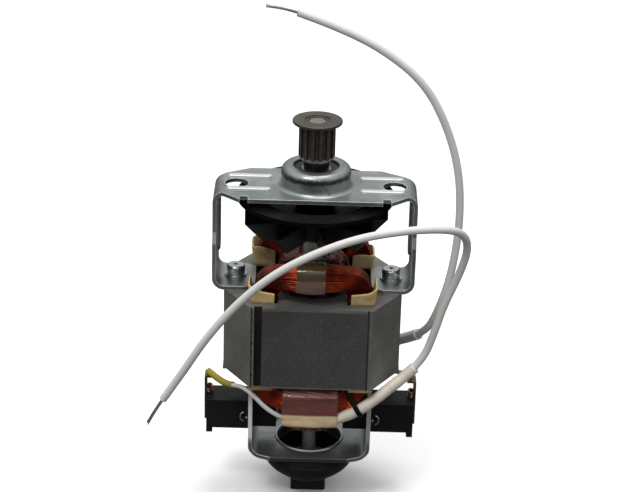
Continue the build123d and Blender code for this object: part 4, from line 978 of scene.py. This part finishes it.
def plate_zinc(name, level, drawn=None, edge_matte=0.5, front_shade=None, bright=None):
    """Zinc plate on pressed steel: cloudy patches, dull marks, and bright sheared edges that are partly bare
    metal and partly painted highlight. It may have a dark ragged line of painted shade at a given height and
    half width, a front edge in painted shade from a Y, and a place of painted highlight."""
    finish = Finish(name, metallic=0.92, edge=0.35)
    shades = [(0.25, 0.28, 0.28), (0.38, 0.41, 0.41), (0.53, 0.56, 0.56)]
    cloud = finish.noise(9, 5, 0.6, distortion=0.4)
    base = finish.ramp(cloud, *[tuple(level * c for c in shade) for shade in shades], stops=(0.3, 0.52, 0.72))
    marks = finish.ranged(finish.noise(2.2, 6, 0.75), 0, 1, 0.6, 0.72)
    base = finish.mixed(marks, base, tuple(level * c for c in (0.22, 0.24, 0.245)))
    # A dark ragged line of painted shade under the cup's shoulder
    if drawn:
        height, half = drawn
        ragged = finish.calc("MULTIPLY_ADD", finish.noise(1.6, 4, 0.7), 2.4 * half * MM, finish.along("Z"))
        off = finish.calc("ABSOLUTE", finish.calc("SUBTRACT", ragged, (height + 1.2 * half) * MM))
        line = finish.ranged(off, 0.9, 0, 0.3 * half * MM, half * MM)
        base = finish.mixed(line, base, (0.035, 0.037, 0.037))
    # Sharp edges painted near white: partly bare sheared metal, partly painted highlight
    edge_wear_and_highlight = finish.edges(0.5)
    base = finish.mixed(edge_wear_and_highlight, base, (0.86, 0.88, 0.88))
    # The front edge face in painted shade, as it faces away from the light
    if front_shade:
        base = finish.mixed(finish.level(front_shade, front_shade + 0.3, "Y"), (0.09, 0.095, 0.10), base)
    metallic = finish.ranged(edge_wear_and_highlight, 0.92, 0.92 - edge_matte, 0, 1)
    # A painted highlight where asked: near white and hardly metallic
    if bright:
        spot = bright(finish)
        base = finish.mixed(spot, base, (0.93, 0.95, 0.95))
        metallic = finish.calc("MULTIPLY", metallic, finish.ranged(spot, 1, 0.1, 0, 1))
    finish.feed(finish.shader, {"Metallic": metallic})
    streaks = finish.noise(1.2, 5, 0.6, scale=(0.12, 1, 1))
    grain = finish.noise(0.35, 3)
    return finish.done(base, finish.ranged(streaks, 0.27, 0.44), (streaks, 0.012, 0.5), (grain, 0.006, 0.5))


# The stack's front face: where a strip of painted shade starts and ends along X and where the face starts
# along Y
GROOVE_SHADE_STRIP = ((17.95, 18.1), (21.1, 20.9), (23.6, 23.8))
LABEL_SHADOW_STRIP = ((-19.8, -19.95), (-20.75, -20.5), (25.2, 25.4))
CLEAT_SHADE_X = (22.2, 22.4)
CLEAT_RAGGED = 1.5
SHEET_PITCH = 0.5


def strip_share(finish, strip, turn):
    """1 in an upright strip of the stack's rear face, or of its front face with turn -1."""
    start, end, face = (
        finish.level(*(turn * edge for edge in edges), axis) for edges, axis in zip(strip, "XXY")
    )
    return finish.calc("MULTIPLY", finish.calc("MULTIPLY", start, end), face)


def cleat_steel():
    """A bright strip with a dark ragged edge of painted shade where it meets the laminations."""
    finish = Finish("cleat_steel", metallic=0.6)
    away = finish.calc("ABSOLUTE", finish.along("X"))
    ragged = finish.calc("MULTIPLY_ADD", finish.noise(1.0, 4, 0.7), CLEAT_RAGGED * MM, away)
    edge = finish.ranged(ragged, 0, 1, *(x * MM for x in CLEAT_SHADE_X))
    bright = finish.ramp(finish.noise(3, 4, scale=(1, 1, 0.2)), (0.14, 0.13, 0.11), (0.30, 0.29, 0.26))
    # The ragged edge is painted shade in the groove beside the laminations
    base = finish.mixed(edge, bright, (0.035, 0.028, 0.020))
    return finish.done(base, finish.ranged(finish.noise(2, 3), 0.25, 0.45), (finish.noise(1.2, 3), 0.03, 0.4))


def laminated(name, dark, light, rough, metallic=0.5, turns=()):
    """A stack of laminations: a line at each sheet's edge and uneven tone from sheet to sheet. The turns,
    1 or -1, name the faces that have painted shade in the groove and a painted shadow line beside the label."""
    finish = Finish(name, metallic=metallic, specular=0.4)
    sheets = finish.noise(0.55, 2, scale=(0.02, 0.02, 1))
    speckle = finish.ranged(finish.noise(0.35, 2), 0, 0.3, 0.58, 0.7)
    base = finish.ramp(finish.noise(5, 4, scale=(1, 1, 0.6)), dark, light)
    base = finish.mixed(speckle, base, scaled(light, 2.2))
    if turns:
        cloud = finish.noise(2.5, 4, scale=(1, 1, 0.2))
        # Painted shade for the groove, in a cloudy dark tone
        varnish = finish.ramp(cloud, (0.006, 0.005, 0.004), (0.032, 0.028, 0.021))
    for turn in turns:
        # Painted shade in the groove, and a painted shadow line beside the label
        base = finish.mixed(strip_share(finish, GROOVE_SHADE_STRIP, turn), base, varnish)
        base = finish.mixed(strip_share(finish, LABEL_SHADOW_STRIP, turn), base, (0.045, 0.042, 0.038))
    gloss = finish.ranged(sheets, rough - 0.1, rough + 0.12)
    return finish.done(base, gloss, (finish.sheet_lines(SHEET_PITCH), 0.03, 0.35), (sheets, 0.03, 0.4))


def enamelled(name, dark, light, rough=0.26):
    """Copper wire under a glossy red-brown enamel."""
    finish = Finish(name, metallic=1.0, coat=0.16, coat_roughness=0.06)
    base = finish.ramp(finish.noise(2.5, 4), dark, light)
    gloss = finish.ranged(finish.noise(1.2, 2), rough - 0.08, rough + 0.06)
    return finish.done(base, gloss, (finish.noise(0.6, 2), 0.01, 0.3))


# Below this height the fan is painted lighter, as fill light in its disc's shade
BLADE_FILL_TOP = (-13.2, -12.2)


def moulded(name, color, rough, specular=0.5, depth=0.008, blade_fill=None):
    """Moulded plastic with faint flow marks; the fan's blades under its disc are lighter, as painted fill
    light in the disc's shade.
    """
    finish = Finish(name, specular=specular, edge=0.3)
    cloud = finish.noise(7, 5, 0.6)
    base = finish.ramp(cloud, *tones(color, 0.25))
    if blade_fill:
        base = finish.mixed(finish.level(*BLADE_FILL_TOP), finish.ramp(cloud, *tones(blade_fill, 0.25)), base)
    gloss = finish.ranged(finish.noise(3, 4), rough - 0.08, rough + 0.12)
    return finish.done(base, gloss, (finish.noise(0.4, 3), depth, 0.4))


def film(name, upper, lower, low, high, pale=None):
    """Thin glossy film: the copper under it shows through in soft streaks, in two tones by height."""
    finish = Finish(name, specular=0.6, coat=0.9, coat_roughness=0.07)
    streaks = finish.noise(1.6, 3, scale=(0.25, 1, 1.2))
    layers = [finish.ramp(streaks, *tones(color, 0.3)) for color in (lower, upper)]
    base = finish.mixed(finish.level(low, high), *layers)
    grains = finish.ranged(finish.noise(0.35, 3), 0, 0.3, 0.55, 0.75)
    base = finish.mixed(grains, base, pale or scaled(lower, 1.6))
    gloss = finish.ranged(finish.noise(2, 3), 0.14, 0.3)
    return finish.done(base, gloss, (finish.noise(1.1, 3, scale=(0.3, 1, 1)), 0.05, 0.5))


def board():
    """Tan insulating board: mottled, with darker varnish stains and a fibrous grain."""
    finish = Finish("liner_board", coat=0.25, coat_roughness=0.2)
    finish.feed(finish.shader, {"Subsurface Weight": 0.25, "Subsurface Scale": 1.2 * MM})
    base = finish.ramp(finish.noise(4, 4), (0.54, 0.36, 0.14), (0.84, 0.65, 0.35))
    stain = finish.ranged(finish.noise(5, 4, distortion=0.5), 0, 0.75, 0.5, 0.68)
    base = finish.mixed(stain, base, (0.27, 0.13, 0.035))
    gloss = finish.ranged(finish.noise(1, 3), 0.28, 0.5)
    return finish.done(base, gloss, (finish.noise(0.5, 4, scale=(1, 1, 0.3)), 0.03, 0.5))


def insulation(name, color, rough=0.42, spread=0.05):
    """Soft wire insulation with handling marks."""
    finish = Finish(name, specular=0.45)
    base = finish.ramp(finish.noise(6, 3), *tones(color, spread))
    marks = finish.ranged(finish.noise(2.5, 6, 0.7), 0, 0.35, 0.62, 0.75)
    base = finish.mixed(marks, base, scaled(color, 0.6))
    gloss = finish.ranged(finish.noise(2, 3), rough - 0.08, rough + 0.1)
    return finish.done(base, gloss, (finish.noise(1.2, 3), 0.02, 0.4))


def shaft_steel():
    """Ground steel, brown and dull at the pulley end."""
    finish = Finish("shaft_steel", metallic=0.6, edge=0.2)
    cloud = finish.noise(2, 4)
    ground = finish.ramp(cloud, (0.42, 0.43, 0.42), (0.62, 0.63, 0.61))
    dull = finish.ramp(cloud, (0.15, 0.145, 0.13), (0.24, 0.235, 0.21))
    streaks = finish.noise(0.5, 4, scale=(1, 1, 8))
    base = finish.mixed(finish.level(-20, 0), ground, dull)
    return finish.done(base, finish.ranged(streaks, 0.3, 0.48), (streaks, 0.01, 0.5))


def sintered():
    """Sintered steel: dark, oily, with fine pores."""
    finish = Finish("sintered_steel", metallic=0.85, edge=0.25)
    base = finish.ramp(finish.noise(3, 5, 0.65), (0.075, 0.066, 0.055), (0.14, 0.125, 0.105))
    pores = finish.ranged(finish.noise(0.25, 2), 0, 1, 0.36, 0.5)
    base = finish.mixed(pores, (0.05, 0.042, 0.035), base)
    return finish.done(base, finish.ranged(finish.noise(0.8, 3), 0.36, 0.55), (pores, 0.02, 0.5))


TRACK_LOW = (-96.2, -94.8)
TRACK_TOP = (-88.0, -89.0)


def turned_copper():
    """Commutator copper with fine turning lines round it and a brown brush track."""
    finish = Finish("turned_copper", metallic=0.95)
    lines = finish.noise(0.25, 2, scale=(0.02, 0.02, 1))
    base = finish.ramp(lines, (0.42, 0.17, 0.10), (0.62, 0.30, 0.19))
    track = finish.calc("MULTIPLY", finish.level(*TRACK_LOW), finish.level(*TRACK_TOP))
    base = finish.mixed(track, base, (0.20, 0.085, 0.055))
    return finish.done(base, finish.ranged(lines, 0.26, 0.42), (lines, 0.01, 0.4))


def blank_label():
    """A dark label with nothing on it, faintly mottled, as the stack round it."""
    finish = Finish("blank_label", specular=0.4)
    base = finish.ramp(finish.noise(6, 4), (0.048, 0.047, 0.048), (0.064, 0.062, 0.062))
    speckle = finish.ranged(finish.noise(0.4, 2), 0, 0.35, 0.56, 0.7)
    base = finish.mixed(speckle, base, (0.16, 0.155, 0.15))
    return finish.done(base, finish.ranged(finish.noise(2, 4), 0.42, 0.58), (finish.noise(0.9, 4), 0.02, 0.4))


def dress(material, *names):
    """Puts a material on CAD nodes."""
    for name in names:
        slots = nodes[name].material_slots
        if not slots:
            nodes[name].data.materials.append(material)
        for held in slots:
            held.material = material


# Building
add_camera()
white = insulation("white_insulation", (0.64, 0.64, 0.62))
# A darker white for the rear sleeve: painted shade, as it lies in shade behind the stator
painted_shade_white = insulation("sleeve_white_painted_shade", (0.60, 0.60, 0.56))
cream_sleeve = insulation("sleeve_cream", (0.66, 0.60, 0.50), 0.34)
yellow = insulation("yellow_insulation", (0.30, 0.235, 0.010), 0.32, 0.08)
copper = enamelled("enamelled_copper", (0.09, 0.008, 0.003), (0.40, 0.050, 0.015), 0.17)
dark_copper = enamelled("armature_copper", (0.05, 0.007, 0.006), (0.19, 0.030, 0.024))
joint_copper = enamelled("joint_copper", (0.13, 0.042, 0.024), (0.46, 0.24, 0.17), 0.3)
# The upper bracket's zinc: a dark ragged line of painted shade under the cup's shoulder, and painted
# highlights on its ribs
zinc = plate_zinc("zinc_plate", 0.82, drawn=(5.3, 1.35), edge_matte=0.85, bright=rib_highlight)
# The lower bracket's zinc: its front edge in painted shade, and painted highlights on its legs' front edges
zinc_low = plate_zinc("zinc_plate_low", 0.72, edge_matte=0.9, front_shade=-18.25, bright=leg_edge_highlight)
# A much brighter copy of the zinc: painted highlight for the hole's rolled edge
zinc_rim_highlight = plate_zinc("zinc_plate_rim_highlight", 1.35)
fastener = plain_metal("zinc_fastener", (0.50, 0.52, 0.52), 0.27, patch=2.0)
tinned = plain_metal("tinned_strand", (0.42, 0.38, 0.34), 0.3, patch=1.0)
brass = plain_metal("brass", (0.55, 0.38, 0.16), 0.3, patch=3.0)
dull_brass = plain_metal("dull_brass", (0.13, 0.10, 0.075), 0.42, spread=0.35, patch=2.5)
tie_black = moulded("tie_black", (0.003, 0.003, 0.003), 0.35, specular=0.12)
tape = film("tape_film", (0.062, 0.039, 0.014), (0.155, 0.092, 0.070), -28.1, -27.3)
low_tape = film("tape_film_low", (0.15, 0.042, 0.034), (0.72, 0.55, 0.32), -82.2, -81.4, (0.30, 0.15, 0.13))
liner_board = board()
spring_steel = plain_metal("spring_steel", (0.42, 0.42, 0.43), 0.3, patch=2.0)

# The bare ends of the leads
STRANDS = 7
STRAND_R = 0.21
STRAND_POINTS = 40
STRAND_TURNS = 1.6
STRAND_OFFSET = 0.42
STRAND_OPENING = 0.3
OPENING_START = 0.8
INSIDE_REACH = 0.6
BEND_SHARE = 0.45


def bare_end(name, start, before, tip, replaced):
    """Twisted strands past the end of the insulation, opening a little at the tip."""
    start, tip, before = (np.array(p, float) for p in (start, tip, before))
    way = unit(start - before)
    bend = start + way * np.linalg.norm(tip - start) * BEND_SHARE
    line = bow(start - way * INSIDE_REACH, bend, tip, STRAND_POINTS)
    first, second = frames_along(line)
    share = np.linspace(0, 1, STRAND_POINTS)
    opening = STRAND_OPENING * np.clip(share - OPENING_START, 0, 1) ** 1.5
    parts = []
    for strand in range(STRANDS):
        if strand == STRANDS - 1:
            spin, offset = 0 * share, 0 * share
        else:
            spin = strand * 2 * math.pi / (STRANDS - 1) + share * 2 * math.pi * STRAND_TURNS
            offset = STRAND_OFFSET + opening * dice.uniform(1, 3)
        path = line + first * (offset * np.cos(spin))[:, None] + second * (offset * np.sin(spin))[:, None]
        last = int(STRAND_POINTS * dice.uniform(0.93, 1.0))
        parts.append(tube(path[:last], STRAND_R, sides=8))
    return piece(name, parts, tinned, [replaced])


for name, points, tip, sleeve_route, length in (
    ("lead_a", LEAD_A, LEAD_A_TIP, REAR_SLEEVE, 0.163),
    ("lead_b", LEAD_B, LEAD_B_TIP, FRONT_SLEEVE, 0.204),
):
    curve = route_curve(name + "_wire", points, LEAD_R)
    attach(curve, "frame")
    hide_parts(name)
    give(curve, white)
    end = bare_end(name + "_bare_end", points[-1], points[-2], tip, name + "_strands")

# Sleeves and jumpers
SWELL_MOST = 0.03
SWELL_WAVES = ((0.05, 0.9, 1), (0.04, 2.3, 0))
YELLOW_LENGTH = 15.0
YELLOW_GAP = 0.08

for name, points, material, replaced in (
    ("front_lead_sleeve", FRONT_SLEEVE, cream_sleeve, "front_sleeve"),
    ("rear_lead_sleeve", REAR_SLEEVE, painted_shade_white, "rear_sleeve"),
):
    line = evenly(route_line(points), step=0.7)
    along = lengths_along(line)
    swell = sum(height * np.sin(along * rate + start) for height, rate, start in SWELL_WAVES)
    outer = SLEEVE_R + np.minimum(swell, SWELL_MOST)
    piece(name, [hollow_tube(line, outer, SLEEVE_BORE_R)], material, [replaced])
for name, points in (("front_jumper", FRONT_JUMPER), ("rear_jumper", REAR_JUMPER)):
    parts = [tube(evenly(route_line(points), step=0.6), JUMPER_R, sides=16)]
    piece(name + "_wire", parts, white, [name])
line = cut(evenly(route_line(FRONT_JUMPER), step=0.5), 0.0, YELLOW_LENGTH)
parts = [hollow_tube(line, YELLOW_R, JUMPER_R + YELLOW_GAP, sides=24)]
piece("yellow_jumper_sleeve", parts, yellow, ["yellow_sleeve"])

# Windings
coil_parts = field_coil_parts()
for side, way in (("front", 1), ("rear", -1)):
    replaced = [side + "_coil_turns", side + "_coil_core"]
    piece(side + "_field_coil", placed(coil_parts, way, way), copper, replaced)
armature_parts = armature_loops(STACK_TOP, 1, WINDING_TOP_RISE)
armature_parts += armature_loops(STACK_LOW, -1, WINDING_LOW_RISE)
armature_parts += slot_wires() + riser_wires()
piece("armature_wires", armature_parts, dark_copper, ["armature_winding"], "rotor")

# Tapes
for side, way in (("front", 1), ("rear", -1)):
    for part, stations, material, replaced in (
        ("top", top_tape_stations(), tape, [side + "_coil_tapes"]),
        ("low", low_tape_stations(), low_tape, []),
    ):
        parts = placed(tape_parts(stations), 1, way)
        band = piece(side + "_tape_" + part, parts, material, replaced)
        thickness = band.modifiers.new("thickness", "SOLIDIFY")
        thickness.thickness = TAPE_THICKNESS * MM
        thickness.offset = 0

# Liners: the top cuff's height, its profile as spots and shares of that height, and whether it is closed
CUFFS = {
    "front_right": (9.0, [0, 0.28, 0.42, 0.6, 0.78, 0.92, 1], [0.55, 0.6, 0.74, 0.88, 0.92, 0.8, 0.55], False),
    "front_left": (9.0, [0, 0.25, 0.42, 0.6, 0.8, 0.92, 1], [0.5, 0.62, 0.78, 0.88, 0.86, 0.76, 0.5], False),
    "rear_right": (5.6, [0, 0.3, 0.55, 0.72, 0.85, 1], [0.9, 1.0, 1.0, 0.96, 1.0, 0.9], True),
    "rear_left": (8.6, [0, 0.3, 0.5, 0.66, 0.8, 1], [0.8, 0.95, 0.96, 0.86, 0.92, 0.78], True),
}
for name, (height, spots, shares, closed) in CUFFS.items():
    side, face = 1 if "right" in name else -1, 1 if "front" in name else -1
    parts = placed(liner_parts(height, (spots, shares), closed), side, face)
    if side != face:
        parts = [(verts, [tuple(reversed(corners)) for corners in faces]) for verts, faces in parts]
    piece("liner_" + name, parts, liner_board, ["slot_liner_" + name])

# Small pieces, and round edges on the commutator's bars
BAR_EDGE_R = 0.35
piece("sleeve_band", tie_parts(), tie_black, ["sleeve_tie"])
piece("holder_eyelets", eyelet_parts(), fastener, ["holder_rivets"])
piece("terminal_wraps", wrap_parts(), joint_copper)
# A bright ring on the hole's rolled edge that carries the painted highlight
piece("hole_rim", rim_parts(), zinc_rim_highlight)
rounding = nodes["commutator_bars"].modifiers.new("rounded_bars", "BEVEL")
rounding.width = BAR_EDGE_R * MM
rounding.segments = 3

# Brush springs between the brushes and the terminals, each with a mesh of its own
SPRING_START = 26.35
SPRING_END = 38.75
SPRING_TURNS = 8.5
SPRING_FLAT_END = 0.06
SPRING_COIL_R = 2.25
SPRING_WIRE_R = 0.3


def spring_line(way):
    """A coil spring between the brush and the terminal, with closed end turns."""
    share = np.linspace(0, 1, 260)
    eased = np.clip((share - SPRING_FLAT_END) / (1 - 2 * SPRING_FLAT_END), 0, 1)
    x = way * (SPRING_START + (SPRING_END - SPRING_START) * eased)
    angle = share * SPRING_TURNS * 2 * math.pi
    return np.column_stack([x, SPRING_COIL_R * np.cos(angle), BRUSH_LEVEL + SPRING_COIL_R * np.sin(angle)])


for side, way in (("right", 1), ("left", -1)):
    name = "brush_spring_" + side
    parts = [tube(spring_line(way), SPRING_WIRE_R, sides=10)]
    spring = piece(name + "_coil", parts, spring_steel, [name])
    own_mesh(spring)

# Materials of the CAD nodes that stay
dress(zinc, "drive_end_bracket")
dress(zinc_low, "commutator_end_bracket")
dress(fastener, "bracket_screws", "spring_washers", "flat_washers")
dress(cleat_steel(), "stack_cleats")
bearing = plain_metal("bearing_steel", (0.20, 0.20, 0.21), 0.2, patch=3.0)
dress(bearing, "bearing_outer_ring", "bearing_inner_ring", "bearing_balls", "rear_thrust_washer")
dress(plain_metal("cage_steel", (0.42, 0.42, 0.42), 0.35), "bearing_cage")
dress(moulded("seal_rubber", (0.02, 0.02, 0.02), 0.6), "bearing_seals")
dress(shaft_steel(), "armature_shaft")
dress(sintered(), "pulley", "pulley_flange")
dress(plain_metal("collar_steel", (0.055, 0.054, 0.052), 0.35, patch=2.0), "spacer_collar")
dress(plain_metal("washer_steel", (0.42, 0.41, 0.39), 0.28, patch=2.0), "pulley_washer")
# The blades' lighter tone is painted fill light in the shade under the disc
fan_black, fan_blade_fill = (0.0028, 0.0028, 0.0029), (0.045, 0.045, 0.0455)
dress(moulded("fan_plastic", fan_black, 0.3, specular=0.05, blade_fill=fan_blade_fill), "fan")
plastic = moulded("black_plastic", (0.0155, 0.0155, 0.016), 0.4, specular=0.09)
dress(plastic, "brush_holder_right", "brush_holder_left", "rear_bearing_housing", "commutator_hub")
stack_dark, stack_light = (0.15, 0.148, 0.138), (0.215, 0.212, 0.196)
dress(laminated("stator_laminations", stack_dark, stack_light, 0.45, turns=(-1, 1)), "stator_core")
dress(laminated("armature_laminations", (0.10, 0.10, 0.10), (0.2, 0.2, 0.2), 0.4, 0.8), "armature_core")
dress(blank_label(), "rating_plate")
dress(turned_copper(), "commutator_bars")
dress(brass, "brush_tube_right", "brush_tube_left")
dress(dull_brass, "brush_terminal_right", "brush_terminal_left")
dress(moulded("carbon", (0.03, 0.03, 0.032), 0.5), "carbon_brush_right", "carbon_brush_left")
dress(plain_metal("bush_bronze", (0.30, 0.19, 0.10), 0.4), "rear_bush")
dress(moulded("oil_felt", (0.25, 0.2, 0.1), 0.85, depth=0.05), "felt_ring")

# Floor, in metres
FLOOR_SIZE = 8
FLOOR_LEVEL = -0.1233
finish = Finish("floor", specular=0.1)
paper = finish.done(finish.ramp(finish.noise(80, 2), (0.90, 0.90, 0.90), (0.92, 0.92, 0.92)), 0.9)
bpy.ops.mesh.primitive_plane_add(size=FLOOR_SIZE, location=(0, 0, FLOOR_LEVEL))
floor = give(bpy.context.object, paper)
floor.name = "floor"
floor.visible_glossy = False
floor.visible_diffuse = False

# The studio round the object, from a dark ground over dim walls to a bright ceiling: height and tone
STUDIO_TONES = [(0.0, 0.13), (0.40, 0.13), (0.52, 0.26), (0.62, 0.42), (0.76, 0.85), (1.0, 1.05)]
world = bpy.data.worlds.new("studio")
bpy.context.scene.world = world
world.use_nodes = True
studio = Nodes(world.node_tree, "Generated")
heights, levels = zip(*STUDIO_TONES)
height = studio.ranged(studio.along("Z"), 0, 1, -1, 1)
tone = studio.ramp(height, *[(level,) * 3 for level in levels], stops=heights)
studio.feed(world.node_tree.nodes["Background"], {"Color": tone, "Strength": 1.0})

# Lights: place and size in metres, and power in watts
AIM = Vector((0, 0, -0.04))
LIGHTS = {
    "key_light": ((-0.35, -0.55, 0.95), (0.4, 0.3), 5),
    "top_light": ((0.1, 0.2, 1.1), (0.6, 0.5), 6),
}
for name, (place, size, watts) in LIGHTS.items():
    data = bpy.data.lights.new(name, "AREA")
    data.shape = "RECTANGLE"
    data.size, data.size_y = size
    data.energy = watts
    lamp = link(bpy.data.objects.new(name, data))
    lamp.location = place
    lamp.rotation_mode = "QUATERNION"
    lamp.rotation_quaternion = (AIM - Vector(place)).to_track_quat("-Z", "Y")

bpy.context.scene.view_settings.view_transform = "Standard"
